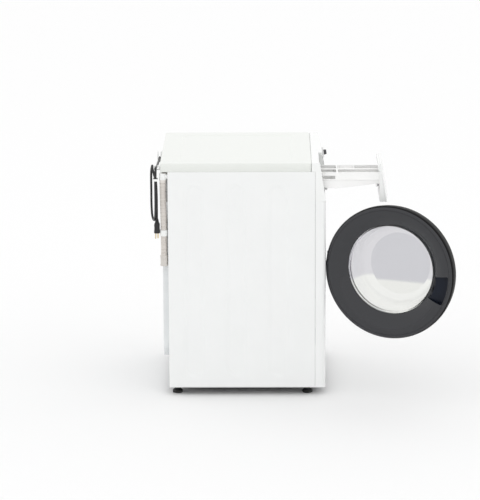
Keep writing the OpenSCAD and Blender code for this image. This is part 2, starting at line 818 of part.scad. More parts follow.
module damper_rods() {
    z1 = axis_z - tub_r + 38;
    for (x = [-damper_x, damper_x]) color("silver") translate([x, damper_y, damper_z0 + 22]) {
        cylinder(r = 6, h = z1 - damper_z0 - 22);
        cylinder(r = 12.1, h = 12);
    }
}

// ---- pump ----
module drain_pump() {
    y0 = front + 44;
    color("dimgray") difference() {
        union() {
            rod_y(filter_x, filter_z, 34, y0, y0 + 60);
            rod_y(filter_x, filter_z, 28, y0 + 60, y0 + 118);
            for (x = [filter_x - 22, filter_x + 22])
                box([x - 4, y0 + 16, foot_h + sheet + 20], [x + 4, y0 + 46, filter_z]);
            translate([filter_x, y0 + 34, filter_z]) cylinder(r = 18, h = 62);
        }
        rod_y(filter_x, filter_z, 23.5, y0 - 1, y0 + 56);
        translate([filter_x, y0 + 34, filter_z]) cylinder(r = 14, h = 63);
    }
}

module pump_filter() {
    y0 = front + 14;
    color("steelblue") {
        rod_y(filter_x, filter_z, 30, y0 + 14, y0 + 28);
        rod_y(filter_x, filter_z, 23, y0 + 28, y0 + 42);
        box([filter_x - 22, y0 + 4, filter_z - 4], [filter_x + 22, y0 + 14, filter_z + 4]);
        for (x = [filter_x - 12, filter_x, filter_x + 12])
            box([x - 1.5, y0 + 42, filter_z - 12], [x + 1.5, y0 + 80, filter_z + 12]);
    }
}

// Pin line of the filter flap, on the flap's right edge
flap_x = filter_x + filter_w / 2 - 6;
flap_y = front + 4;
module filter_frame() {
    x0 = filter_x - filter_w / 2;
    x1 = filter_x + filter_w / 2;
    z0 = filter_z - filter_hgt / 2;
    z1 = filter_z + filter_hgt / 2;
    color("whitesmoke") difference() {
        union() {
            difference() {
                box([x0 - 6, front + sheet, z0 - 6], [x1 + 6, front + 27, z1 + 6]);
                box([x0, front, z0], [x1, front + 25, z1]);
                rod_y(filter_x, filter_z, 32, front, front + 40);
            }
            for (z = [z0 - 1, z1 - 5]) {
                translate([flap_x, flap_y, z]) cylinder(r = 2.65, h = 6);
                box([flap_x - 4, flap_y - 1, z], [flap_x + 1.5, flap_y + 5, z + 6]);
            }
        }
        translate([flap_x, flap_y, z0 - 4]) cylinder(r = 1.5 + run, h = filter_hgt + 8);
    }
}

module filter_door() {
    x0 = filter_x - filter_w / 2 + 1;
    z0 = filter_z - filter_hgt / 2 + 1;
    z1 = filter_z + filter_hgt / 2 - 1;
    color("white") {
        upright(front, front + 1) round_rect([x0, z0], [flap_x + 4, z1], 1);
        box([x0 + 6, front + 1, z0 + 6], [flap_x + 3, front + 3, z1 - 6]);
        translate([flap_x, flap_y, z0 + 5]) cylinder(r = 3, h = z1 - z0 - 10);
        translate([flap_x, flap_y, z0 + 1]) cylinder(r = 1.5, h = z1 - z0 - 2);
    }
}

// ---- door ----
// Outline of the handle pocket in the door's face, drawn larger by grow
module pocket_plan(grow) {
    intersection() {
        difference() {
            translate([0, door_z]) circle(r = door_r - 18 + grow);
            translate([0, axis_z]) circle(r = glass_r + 7 - grow);
        }
        offset(delta = grow) translate([0, door_z]) polygon([glass_r * [cos(3), -sin(3)],
            door_r * [cos(1), sin(1)], door_r * [cos(27), -sin(27)], glass_r * [cos(31), -sin(31)]]);
    }
}

module door_ring() {
    wall = 3;
    bend = 12;
    r = door_r;
    top = ring_h;
    color("dimgray") at_door() difference() {
        union() {
            turned(door_z) polygon(concat([[r - 5, 5], [r, 28]],
                arc([r - bend, top - bend], bend, 0, 90, 6),
                [[glass_r - 10, top], [glass_r - 10, top - wall]],
                arc([r - bend, top - bend], bend - wall, 90, 0, 6), [[r - wall, 28], [r - 5 - wall, 5]]));
            turned(axis_z) polygon([[glass_r - 10, 27], [glass_r + 3.5, 27], [glass_r + 13, 33],
                [glass_r + 26, 40], [glass_r + 42, top - 6], [glass_r + 50, top - 3], [glass_r + 50, top],
                [glass_r - 10, top]]);
            for (a = [22:45:340]) translate([0, front - 8, door_z]) rotate([0, a, 0]) translate([205, 0, 0])
                rotate([90, 0, 0]) cylinder(r = 5, h = ring_h - 10);
            upright(front - top + 0.5, front - top + 23.5) pocket_plan(1.6);
        }
        upright(front - top - 1, front - top + 20.5) pocket_plan(0);
        turned(axis_z) polygon([[0, 20], [glass_r + 0.5, 20], [glass_r + 0.5, 29.5], [glass_r + 10, 36],
            [glass_r + 24, 44], [glass_r + 40, top - 3], [glass_r + 55, top + 0.1], [glass_r + 55, top + 9],
            [0, top + 9]]);
        box([-door_r - 10, front - 21, door_z - 62], [-door_r + 16, front, door_z + 62]);
    }
}

module door_glass() {
    g = glass_r;
    t = glass_t;
    deep = bowl_in;
    color("silver", 0.5) at_door() turned(axis_z) polygon(concat(
        [[g + 12, 21.5], [g + 12, 26.5], [g - 4, 26.5], [g - 8, 0]],
        arc([g - 48, -deep + 32 + t], 32, -8, -90, 8), [[0, -deep + t - 3], [0, -deep - 3]],
        arc([g - 48, -deep + 32 + t], 32 + t, -90, -8, 8), [[g - 3, 0], [g, 21.5]]));
}

module door_inner_frame() {
    color("whitesmoke") at_door() difference() {
        union() {
            turned(door_z) polygon([[glass_r - 10, 4], [door_r - 9, 4], [door_r - 9, 14], [door_r - 12, 14],
                [door_r - 12, 7.5], [glass_r - 10, 7.5]]);
            turned(axis_z) polygon([[glass_r - 10, 4], [glass_r + 8, 4], [glass_r + 8, 21.5],
                [glass_r - 10, 21.5]]);
        }
        turned(axis_z) polygon([[0, 0], [glass_r + 2, 0], [glass_r + 2, 40], [0, 40]]);
        box([hook_x - 7, front - 20, door_z - 14], [hook_x + 7, front, door_z + 14]);
        box([-door_r - 10, front - 21, door_z - 60], [-door_r + 22, front, door_z + 60]);
    }
}

module knuckle(z0, z1, bore) {
    translate([hinge_x, hinge_y, z0]) difference() {
        cylinder(r = 6.5, h = z1 - z0);
        translate([0, 0, -1]) cylinder(r = bore, h = z1 - z0 + 2);
    }
}

module hinge_arm() {
    color("silver") at_door() difference() {
        union() {
            for (z = [door_z - 52, door_z + 20]) {
                knuckle(z, z + 32, pin_r + run);
                box([hinge_x + 3, front - 8, z], [hinge_x + 22, front - 5.6, z + 32]);
                box([hinge_x + 16, front - 8, z], [hinge_x + 19, front - 4, z + 32]);
            }
            box([hinge_x + 16, front - 4, door_z - 52], [hinge_x + 58, front - 1.7, door_z + 52]);
            for (z = [door_z - 52, door_z + 20])
                box([hinge_x + 16, front - 5, z], [hinge_x + 19, front - 1.7, z + 32]);
        }
        translate([hinge_x, hinge_y, door_z - 60]) cylinder(r = pin_r + run, h = 120);
    }
}

module hinge_bracket() {
    color("silver") difference() {
        union() {
            box([hinge_x - 5, front - 1.3, door_z - 56], [hinge_x + 44, front, door_z + 56]);
            box([hinge_x - 3, hinge_y, door_z - 18], [hinge_x + 3, front, door_z + 18]);
            translate([hinge_x, hinge_y, door_z - 18]) cylinder(r = 6.5, h = 36);
            translate([hinge_x, hinge_y, door_z - 54]) cylinder(r = pin_r, h = 108);
        }
    }
}

module latch_hook() {
    color("silver") at_door() {
        box([hook_x - 3, front - 10, door_z - 9], [hook_x + 3, front + 16, door_z + 9]);
        box([hook_x - 3, front + 11, door_z - 9], [hook_x + 7, front + 16, door_z + 9]);
        translate([hook_x, front - 11, door_z - 12]) cylinder(r = 4, h = 24);
    }
}

module door_lock() {
    color("dimgray") difference() {
        box([hook_x - 20, front + sheet, door_z - 42], [hook_x + 26, front + 42, door_z + 42]);
        box([hook_x - 9.5, front, door_z - 13], [hook_x + 13.5, front + 28, door_z + 13]);
    }
}

// ---- feet ----
module foot_at(x, y) {
    pad_h = 14;
    color("black") translate([x, y, 0]) {
        cylinder(r = foot_d / 2, h = pad_h);
        translate([0, 0, pad_h]) cylinder(r = 11, h = 4);
        translate([0, 0, pad_h + 4]) cylinder(r = 5, h = foot_h + sheet + 30 - pad_h - 4);
        translate([0, 0, foot_h - 9]) cylinder(r = 10, h = 7, $fn = 6);
    }
}

module foot_front_left() {
    foot_at(-foot_x, foot_y0);
}

module foot_front_right() {
    foot_at(foot_x, foot_y0);
}

module foot_rear_left() {
    foot_at(-foot_x, foot_y1);
}

module foot_rear_right() {
    foot_at(foot_x, foot_y1);
}

// ---- hose and cord ----
module drain_hose() {
    end = hose_route[len(hose_route) - 1];
    color("lightgray") {
        tube(smooth(hose_route, 1), hose_d / 2, 12);
        translate([end[0], end[1], 477]) cylinder(r = 14, h = end[2] - 477);
    }
}

module hose_fittings() {
    top = hose_route[0];
    clip_y = hose_route[5][1];
    color("whitesmoke") {
        difference() {
            union() {
                rod_y(top[0], top[2] + 12, 9.5, back, top[1]);
                translate([top[0], top[1], top[2]]) cylinder(r = 12.5, h = 23.5);
            }
            translate([top[0], top[1], top[2] - 1]) cylinder(r = 8, h = 16);
        }
        box([left + 28.5, back, 706], [left + 38, back + 15, top_z - 4]);
        difference() {
            union() {
                translate([hose_x, clip_y, 586]) cylinder(r = hose_d / 2 + 1.6, h = 22);
                box([hose_x, back, 586], [left + 34, clip_y, 608]);
            }
            translate([hose_x, clip_y, 580]) cylinder(r = hose_d / 2 + 0.6, h = 40);
            box([left - 1, back - 20, 580], [left + 40, back, 620]);
        }
    }
}

module power_cord() {
    color("black") tube(smooth(cord_route, 2), cord_d / 2, 8, [0, 0.3, 1]);
}

// A hook on the top plate's rear edge: its pocket's floor is at height z, and it is open above
module cord_clip(x, z, reach) {
    y0 = back + top_over;
    y1 = y0 + reach;
    difference() {
        box([x - 8, y0, z], [x + 8, y1, max(z + 14, top_z + 8)]);
        box([x - 9, y0 + 4, z + 1.5], [x + 9, y1 - 1.2, z + 12]);
        box([x - 9, y0 + 10, z + 8], [x + 9, y1 - 4, body_h]);
    }
}

module cord_holders() {
    start = cord_route[0];
    color("dimgray") {
        box([gland_at[0] - 14, back, gland_at[1] - 14], [gland_at[0] + 14, start[1] + 7, gland_at[1] + 14]);
        translate(start) cylinder(r1 = 5.2, r2 = 7, h = gland_at[1] - 14 - start[2]);
        cord_clip(46, body_h - 53.2, 21.5);
        cord_clip(-254, top_z + 0.2, 21.5);
        difference() {
            box([-300, 315.5, body_h - 64], [-272, 332.5, body_h - 56]);
            box([-298, 317, body_h - 65], [-274, 331, body_h - 55]);
        }
    }
}

module plug_body() {
    color("black") translate([plug_at[0], plug_at[1], 0]) {
        translate([0, 0, 632]) cylinder(r1 = 8, r2 = 5, h = plug_at[2] - 632);
        translate([0, 0, 595]) linear_extrude(38) round_rect([-13.5, -10.5], [13.5, 10.5], 6);
    }
}

module plug_pins() {
    color("gold") translate([plug_at[0], plug_at[1], 0]) {
        for (x = [-6.35, 6.35]) translate([x - 0.8, -6.5, 577]) cube([1.6, 6.5, 18]);
        translate([0, 5.5, 574]) cylinder(r = 2.4, h = 21);
    }
}

side_panel_left();
side_panel_right();
back_panel();
rear_cover();
base_pan();
front_panel();
top_plate();
top_board();
top_rails();
control_panel();
display_window();
control_board();
program_dial();
power_button();
start_button();
temp_button();
spin_button();
dispenser_housing();
drawer_front();
drawer_tray();
siphon_cap();
inlet_valve_hot();
inlet_valve_cold();
tub_rear();
tub_front();
door_gasket();
gasket_clamp();
counterweights();
heater();
bearings();
motor_stator();
drum_basket();
drum_lifters();
drum_spider();
motor_rotor();
suspension_springs();
spring_hangers();
damper_cylinders();
damper_rods();
drain_pump();
pump_filter();
filter_frame();
filter_door();
door_ring();
door_inner_frame();
door_glass();
hinge_arm();
hinge_bracket();
latch_hook();
door_lock();
foot_front_left();
foot_front_right();
foot_rear_left();
foot_rear_right();
drain_hose();
hose_fittings();
power_cord();
cord_holders();
plug_body();
plug_pins();
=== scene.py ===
"""Looks, hose, cord, lights and camera of a front load washing machine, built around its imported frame."""

from __future__ import annotations

import logging
import math
from dataclasses import dataclass
from enum import Enum
from typing import Callable, Iterable, Sequence

import bmesh
import bpy
from mathutils import Matrix, Vector

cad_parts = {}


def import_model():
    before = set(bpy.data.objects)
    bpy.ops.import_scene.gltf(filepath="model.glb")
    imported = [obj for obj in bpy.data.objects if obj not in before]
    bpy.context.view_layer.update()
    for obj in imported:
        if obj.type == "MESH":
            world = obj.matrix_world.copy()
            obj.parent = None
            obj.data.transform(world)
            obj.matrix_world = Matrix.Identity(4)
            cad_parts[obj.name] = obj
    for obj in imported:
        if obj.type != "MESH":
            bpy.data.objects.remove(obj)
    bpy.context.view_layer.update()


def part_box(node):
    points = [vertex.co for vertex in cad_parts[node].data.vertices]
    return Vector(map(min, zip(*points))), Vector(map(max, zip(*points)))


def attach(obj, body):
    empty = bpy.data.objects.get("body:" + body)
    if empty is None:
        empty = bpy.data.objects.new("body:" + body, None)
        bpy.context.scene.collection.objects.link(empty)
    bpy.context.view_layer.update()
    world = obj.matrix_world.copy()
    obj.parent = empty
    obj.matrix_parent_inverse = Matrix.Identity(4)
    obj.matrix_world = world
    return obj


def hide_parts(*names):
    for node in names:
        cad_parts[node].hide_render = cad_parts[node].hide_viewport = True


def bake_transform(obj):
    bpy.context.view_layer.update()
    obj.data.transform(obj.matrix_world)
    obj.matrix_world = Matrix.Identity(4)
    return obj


LOG = logging.getLogger("washer")
MM = 0.001
Point = tuple[float, float, float]
Ring = list[Point]
Pair = tuple[float, float]
Socket = bpy.types.NodeSocket

# Places that the pieces share, in metres
FRONT = -0.2805
BACK = 0.2805
HALF_W = 0.300
DOOR_Z = 0.468
AXIS_Z = 0.476
DOOR_OPEN = math.radians(112)
HINGE = Vector((-0.241, -0.2925, 0.0))
FASCIA_Z = 0.713
FASCIA_LEAN = math.atan(21.5 / 137)
FASCIA_BULGE = 0.010
SHARP = math.radians(35)

# Looks that every finish shares
COAT_ROUGHNESS = 0.04
BROAD_SCALE = 9.0
FINE_SHARE = 0.25
BUMP_STRENGTH = 0.35
# how softly the painted reflection of the bright floor fades in on the lower glass
PAINTED_REFLECTION_BLUR = 5 * MM


class Grain(Enum):
    """How a surface is roughened."""

    ENAMEL = "enamel"
    MOULDED = "moulded"
    GLOSS = "gloss"
    BRUSHED = "brushed"
    RUBBER = "rubber"
    CAST = "cast"
    CLEAR = "clear"


class Side(Enum):
    """Which side of the cabinet a piece is on, as a sign along X."""

    LEFT = -1
    RIGHT = 1


@dataclass(frozen=True)
class GrainSpec:
    """The noise behind one grain: its scale per metre, stretch, bump height and how much it varies the gloss."""

    scale: float
    stretch: Point
    height: float
    rough_spread: float
    tint_spread: float


GRAINS: dict[Grain, GrainSpec] = {
    Grain.ENAMEL: GrainSpec(420.0, (1, 1, 1), 0.00004, 0.05, 0.012),
    Grain.MOULDED: GrainSpec(1500.0, (1, 1, 1), 0.00006, 0.08, 0.03),
    Grain.GLOSS: GrainSpec(260.0, (1, 1, 1), 0.00001, 0.03, 0.015),
    Grain.BRUSHED: GrainSpec(900.0, (0.06, 1, 1), 0.00004, 0.12, 0.06),
    Grain.RUBBER: GrainSpec(1100.0, (1, 1, 1), 0.00010, 0.10, 0.06),
    Grain.CAST: GrainSpec(500.0, (1, 1, 1), 0.00040, 0.15, 0.12),
    Grain.CLEAR: GrainSpec(120.0, (1, 1, 1), 0.00001, 0.01, 0.01),
}


def add_node(
    tree: bpy.types.NodeTree, kind: str, values: dict | None = None, links: dict | None = None, **settings: str
) -> bpy.types.Node:
    """Adds a shader node.

    Args:
        tree: the material's nodes.
        kind: the node's type, without its prefix.
        values: what each of its inputs is set to.
        links: the output that feeds each of its other inputs.
        settings: the node's own properties, set before its inputs.
    """
    node = tree.nodes.new(f"ShaderNode{kind}")
    for key, value in settings.items():
        setattr(node, key, value)
    for key, value in (values or {}).items():
        node.inputs[key].default_value = value
    for key, source in (links or {}).items():
        tree.links.new(source, node.inputs[key])
    return node


@dataclass(frozen=True)
class Finish:
    """One surface finish: its colour, gloss and grain."""

    name: str
    color: Point
    roughness: float
    grain: Grain
    metallic: float = 0.0
    coat: float = 0.0
    transmission: float = 0.0
    ior: float = 1.5
    # a lighter colour below a height: a painted reflection of the bright floor on the lower part of the glass
    painted_reflection_color: Point | None = None
    painted_reflection_edge: float = 0.0

    def material(self) -> bpy.types.Material:
        """Builds the material once and gives it back on later calls."""
        title = f"{self.name}_look"
        known = bpy.data.materials.get(title)
        if known is not None:
            return known
        spec = GRAINS[self.grain]
        mat = bpy.data.materials.new(title)
        mat.use_nodes = True
        tree = mat.node_tree
        shader = tree.nodes["Principled BSDF"]
        for key, value in (
            ("Metallic", self.metallic), ("Coat Weight", self.coat), ("Coat Roughness", COAT_ROUGHNESS),
            ("Transmission Weight", self.transmission), ("IOR", self.ior),
        ):
            shader.inputs[key].default_value = value
        where = add_node(tree, "TexCoord").outputs["Object"]
        turn = add_node(tree, "Mapping", {"Scale": spec.stretch}, {"Vector": where}).outputs["Vector"]
        fine = self._noise(tree, turn, spec.scale, 3)
        broad = self._noise(tree, turn, BROAD_SCALE, 4)
        color = self._tint(tree, broad, fine, spec.tint_spread)
        # glass finishes turn lighter below a height: a painted reflection of the bright floor
        if self.painted_reflection_color is not None:
            color = self._paint_floor_reflection(tree, where, color)
        low, high = self.roughness - spec.rough_spread, self.roughness + spec.rough_spread
        gloss = add_node(tree, "MapRange", {"To Min": max(0.01, low), "To Max": min(1.0, high)}, {"Value": broad})
        bump = add_node(tree, "Bump", {"Strength": BUMP_STRENGTH, "Distance": spec.height}, {"Height": fine})
        tree.links.new(color, shader.inputs["Base Color"])
        tree.links.new(gloss.outputs["Result"], shader.inputs["Roughness"])
        tree.links.new(bump.outputs["Normal"], shader.inputs["Normal"])
        mat.diffuse_color = (*self.color, 1.0)
        return mat

    @staticmethod
    def _noise(tree: bpy.types.NodeTree, turn: Socket, scale: float, detail: float) -> Socket:
        """Adds a noise texture of that scale, read through the mapping."""
        return add_node(tree, "TexNoise", {"Scale": scale, "Detail": detail}, {"Vector": turn}).outputs["Fac"]

    def _tint(self, tree: bpy.types.NodeTree, broad: Socket, fine: Socket, spread: float) -> Socket:
        """Varies the base colour slowly over the piece and finely with the grain."""
        part = add_node(tree, "Math", {1: 1 - FINE_SHARE}, {0: broad}, operation="MULTIPLY").outputs["Value"]
        mix = add_node(tree, "Math", {1: FINE_SHARE}, {0: fine, 2: part}, operation="MULTIPLY_ADD")
        ramp = add_node(tree, "ValToRGB", links={"Fac": mix.outputs["Value"]})
        dark = tuple(c * (1 - spread) for c in self.color)
        light = tuple(min(1.0, c * (1 + spread)) for c in self.color)
        for stop, place, color in zip(ramp.color_ramp.elements, (0.30, 0.68), (dark, light)):
            stop.position = place
            stop.color = (*color, 1)
        return ramp.outputs["Color"]

    def _paint_floor_reflection(self, tree: bpy.types.NodeTree, where: Socket, color: Socket) -> Socket:
        """Turns the colour into the lighter one below an edge, softly: a painted reflection of the bright floor on
        the lower glass.
        """
        height = add_node(tree, "SeparateXYZ", links={"Vector": where}).outputs["Z"]
        limits = {"From Min": self.painted_reflection_edge - PAINTED_REFLECTION_BLUR, "From Max": self.painted_reflection_edge + PAINTED_REFLECTION_BLUR}
        reach = add_node(tree, "MapRange", limits, {"Value": height}).outputs["Result"]
        lower = {"A": (*self.painted_reflection_color, 1)}
        return add_node(tree, "Mix", lower, {"Factor": reach, "B": color}, data_type="RGBA").outputs["Result"]


ENAMEL = Finish("white_enamel", (0.87, 0.88, 0.875), 0.24, Grain.ENAMEL, coat=0.3)
ZINC = Finish("zinc_sheet", (0.80, 0.82, 0.825), 0.4, Grain.BRUSHED, metallic=0.35)
BASE = Finish("base_moulding", (0.10, 0.10, 0.105), 0.55, Grain.MOULDED)
WHITE = Finish("white_moulding", (0.88, 0.89, 0.88), 0.26, Grain.GLOSS, coat=0.25)
TOP_WHITE = Finish("white_top", (0.80, 0.82, 0.785), 0.3, Grain.ENAMEL, coat=0.2)
BOARD = Finish("pressed_board", (0.45, 0.32, 0.2), 0.75, Grain.CAST)
SMOKED = Finish("smoked_window", (0.012, 0.012, 0.014), 0.06, Grain.GLOSS, coat=0.6)
CIRCUIT = Finish("green_board", (0.03, 0.14, 0.06), 0.4, Grain.GLOSS)
DIAL = Finish("dial_white", (0.82, 0.82, 0.82), 0.22, Grain.GLOSS, coat=0.3)
# near-black for the dial's grip: a painted reflection of the dark band that a glossy dial shows along its side
DIAL_PAINTED_REFLECTION = Finish("dial_grip_painted_reflection", (0.05, 0.05, 0.055), 0.18, Grain.GLOSS, coat=0.4)
BUTTON = Finish("button_grey", (0.5, 0.5, 0.52), 0.28, Grain.GLOSS, coat=0.2)
INNER = Finish("tray_white", (0.93, 0.928, 0.92), 0.36, Grain.MOULDED)
CLIP = Finish("drawer_clip", (0.16, 0.15, 0.17), 0.4, Grain.MOULDED)
BLUE = Finish("blue_moulding", (0.05, 0.16, 0.42), 0.35, Grain.MOULDED)
RED = Finish("red_moulding", (0.45, 0.03, 0.025), 0.38, Grain.MOULDED)
TUB = Finish("tub_moulding", (0.6, 0.6, 0.58), 0.5, Grain.MOULDED)
GASKET = Finish("gasket_grey", (0.24, 0.245, 0.25), 0.48, Grain.RUBBER)
STEEL = Finish("bright_steel", (0.66, 0.66, 0.67), 0.24, Grain.BRUSHED, metallic=1.0)
IRON = Finish("cast_iron", (0.09, 0.09, 0.095), 0.6, Grain.CAST, metallic=0.3)
MOTOR = Finish("motor_steel", (0.4, 0.4, 0.41), 0.35, Grain.BRUSHED, metallic=0.9)
DRUM = Finish("drum_steel", (0.68, 0.68, 0.69), 0.2, Grain.BRUSHED, metallic=1.0)
LIFTER = Finish("lifter_grey", (0.66, 0.67, 0.68), 0.36, Grain.MOULDED)
ALLOY = Finish("cast_alloy", (0.5, 0.5, 0.5), 0.45, Grain.CAST, metallic=0.8)
DARK = Finish("dark_moulding", (0.045, 0.045, 0.048), 0.42, Grain.MOULDED)
TINTED = Finish("tinted_ring", (0.011, 0.012, 0.016), 0.10, Grain.GLOSS, coat=0.3)
RIM_BLACK = Finish("black_rim", (0.004, 0.004, 0.004), 0.5, Grain.GLOSS, ior=1.2)
POCKET = Finish("handle_pocket", (0.006, 0.009, 0.018), 0.3, Grain.GLOSS, ior=1.28)
FRAME_GREY = Finish("door_frame_grey", (0.72, 0.725, 0.73), 0.34, Grain.MOULDED)
# both glass finishes are painted lighter below a height: a painted reflection of the bright floor on the bowl's
# lower walls and bottom
GLASS = Finish(
    "door_glass", (0.69, 0.685, 0.71), 0.02, Grain.CLEAR, transmission=1.0,
    painted_reflection_color=(0.86, 0.865, 0.84), painted_reflection_edge=AXIS_Z - 50 * MM,
)
GLASS_BASE = Finish(
    "door_glass_base", (0.60, 0.60, 0.63), 0.02, Grain.CLEAR, transmission=1.0,
    painted_reflection_color=(0.82, 0.825, 0.795), painted_reflection_edge=AXIS_Z - 66 * MM,
)
FOOT = Finish("foot_rubber", (0.012, 0.012, 0.012), 0.55, Grain.RUBBER)
HOSE = Finish("hose_beige", (0.74, 0.70, 0.665), 0.45, Grain.MOULDED)
# darker beige for the hose's valleys: painted shade in the folds of the corrugation
HOSE_VALLEY_PAINTED_SHADE = Finish("hose_valley_painted_shade", (0.58, 0.54, 0.50), 0.5, Grain.MOULDED)
CUFF = Finish("cuff_beige", (0.64, 0.61, 0.575), 0.5, Grain.RUBBER)
CORD = Finish("cord_black", (0.012, 0.012, 0.013), 0.4, Grain.RUBBER)
BRASS = Finish("plug_brass", (0.78, 0.68, 0.5), 0.2, Grain.BRUSHED, metallic=1.0)
MARK = Finish("grey_mark", (0.22, 0.22, 0.23), 0.4, Grain.GLOSS)


# ---- shapes ----


def smooth_step(value: float) -> float:
    """Eases a value from 0 to 1, and holds it at both ends."""
    t = min(1.0, max(0.0, value))
    return t * t * (3 - 2 * t)


def mm(*pairs: Pair) -> list[Pair]:
    """Pairs given in millimetres, in metres."""
    return [(a * MM, b * MM) for a, b in pairs]


def arc(center: Pair, radius: float, start: float, end: float, count: int) -> list[Pair]:
    """Points along a circular arc.

    Args:
        center: the arc's centre.
        radius: its radius.
        start: first angle in degrees.
        end: last angle in degrees.
        count: how many steps it takes.

    Returns:
        count + 1 points.
    """
    steps = [math.radians(start + (end - start) * i / count) for i in range(count + 1)]
    return [(center[0] + radius * math.cos(a), center[1] + radius * math.sin(a)) for a in steps]


def round_ring(low: Pair, high: Pair, radius: float, height: float, steps: int = 8) -> Ring:
    """A level rectangle with round corners, as a ring of points at one height."""
    corners = [
        ((high[0] - radius, high[1] - radius), 0),
        ((low[0] + radius, high[1] - radius), 90),
        ((low[0] + radius, low[1] + radius), 180),
        ((high[0] - radius, low[1] + radius), 270),
    ]
    flat = [p for c, a in corners for p in arc(c, radius, a, a + 90, steps)]
    return [(x, y, height) for x, y in flat]


def front_ring(radius: float, out: float, center_z: float, count: int = 192) -> Ring:
    """An upright circle that stands out from the front panel by the given distance."""
    turns = [2 * math.pi * i / count for i in range(count)]
    return [(radius * math.cos(a), FRONT - out, center_z + radius * math.sin(a)) for a in turns]


class Shape:
    """A mesh in the making, with a finish for each of its faces."""

    def __init__(self, *finishes: Finish) -> None:
        """Starts an empty shape that uses those finishes, numbered from 0."""
        self.finishes = finishes
        self.verts: list[Point] = []
        self.faces: list[tuple[int, ...]] = []
        self.marks: list[int] = []

    def loft(
        self,
        rings: Sequence[Ring],
        caps: bool = True,
        wrap: bool = False,
        mark: Callable[[int], int] | int = 0,
        closed: bool = True,
    ) -> None:
        """Joins rings of equal length with quads.

        Args:
            rings: the rings, in order.
            caps: closes the first and last ring with a face each.
            wrap: joins the last ring to the first.
            mark: the finish number, or a function of the ring's number.
            closed: each ring joins its own last point to its first.
        """
        base = len(self.verts)
        size = len(rings[0])
        for ring in rings:
            self.verts.extend(tuple(p) for p in ring)
        bands = len(rings) if wrap else len(rings) - 1
        for i in range(bands):
            here = base + i * size
            there = base + ((i + 1) % len(rings)) * size
            kind = mark(i) if callable(mark) else mark
            for k in range(size if closed else size - 1):
                j = (k + 1) % size
                self.faces.append((here + k, here + j, there + j, there + k))
                self.marks.append(kind)
        if caps and not wrap:
            last = base + (len(rings) - 1) * size
            self.faces.append(tuple(range(base + size - 1, base - 1, -1)))
            self.faces.append(tuple(range(last, last + size)))
            self.marks.extend([mark(0), mark(bands - 1)] if callable(mark) else [mark, mark])

    def box(self, low: Point, high: Point, mark: int = 0, radius: float = 0.0006) -> None:
        """Adds a block with slightly rounded edges."""
        inset_low, inset_high = [c + radius for c in low[:2]], [c - radius for c in high[:2]]
        self.loft([
            round_ring(inset_low, inset_high, radius, low[2], 2),
            round_ring(low[:2], high[:2], radius, low[2] + radius, 2),
            round_ring(low[:2], high[:2], radius, high[2] - radius, 2),
            round_ring(inset_low, inset_high, radius, high[2], 2),
        ], mark=mark)

    def lathe(
        self,
        profile: Sequence[Pair],
        place: Matrix,
        count: int = 48,
        caps: bool = True,
        mark: Callable[[int], int] | int = 0,
    ) -> None:
        """Turns a profile of (radius, height) about the local Z axis of a placement matrix."""
        turns = [2 * math.pi * i / count for i in range(count)]
        rings = [
            [tuple(place @ Vector((radius * math.cos(a), radius * math.sin(a), height))) for a in turns]
            for radius, height in profile
        ]
        self.loft(rings, caps=caps, mark=mark)

    def moved(self, matrix: Matrix) -> None:
        """Moves every point made so far by a matrix."""
        self.verts = [tuple(matrix @ Vector(p)) for p in self.verts]

    def make(self, name: str, sharp: float = 35.0) -> bpy.types.Object:
        """Makes the Blender object, with outward normals and smooth shading below the sharp angle."""
        mesh = bpy.data.meshes.new(name)
        mesh.from_pydata(self.verts, [], self.faces)
        for finish in self.finishes:
            mesh.materials.append(finish.material())
        for face, kind in zip(mesh.polygons, self.marks):
            face.material_index = kind
        edit = bmesh.new()
        edit.from_mesh(mesh)
        bmesh.ops.recalc_face_normals(edit, faces=edit.faces)
        edit.to_mesh(mesh)
        edit.free()
        mesh.shade_smooth()
        mesh.set_sharp_from_angle(angle=math.radians(sharp))
        obj = bpy.data.objects.new(name, mesh)
        bpy.context.scene.collection.objects.link(obj)
        return obj


def settle(piece: bpy.types.Object, body: str, slot: str, *nodes: str) -> bpy.types.Object:
    """Makes a piece ride on a body, hides the nodes that it stands for, and reports it."""
    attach(piece, body)
    if nodes:
        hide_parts(*nodes)
    LOG.info("piece %s rides on %s", piece.name, body)
    return piece


def apply_modifiers(obj: bpy.types.Object) -> None:
    """Makes every modifier of a new piece part of its mesh."""
    graph = bpy.context.evaluated_depsgraph_get()
    done = bpy.data.meshes.new_from_object(obj.evaluated_get(graph))
    obj.modifiers.clear()
    obj.data = done


def cut(piece: bpy.types.Object, cutters: Iterable[Shape]) -> None:
    """Cuts shapes out of a piece and removes the cutters."""
    tools = [shape.make(f"cutter_{i}") for i, shape in enumerate(cutters)]
    for tool in tools:
        change = piece.modifiers.new("cut", "BOOLEAN")
        change.operation = "DIFFERENCE"
        change.solver = "EXACT"
        change.object = tool
    apply_modifiers(piece)
    for tool in tools:
        bpy.data.objects.remove(tool)
    piece.data.set_sharp_from_angle(angle=SHARP)


def opened() -> Matrix:
    """The turn that takes the closed door to the angle at which it stands open."""
    return Matrix.Translation(HINGE) @ Matrix.Rotation(-DOOR_OPEN, 4, "Z") @ Matrix.Translation(-HINGE)


def fascia_frame(x: float, z: float) -> Matrix:
    """A placement on the control panel's face, with local Z straight out of it."""
    y = FRONT + (z - FASCIA_Z) * math.tan(FASCIA_LEAN) - FASCIA_BULGE * (1 - (x / HALF_W) ** 2)
    return Matrix.Translation((x, y, z)) @ Matrix.Rotation(math.pi / 2 - FASCIA_LEAN, 4, "X")


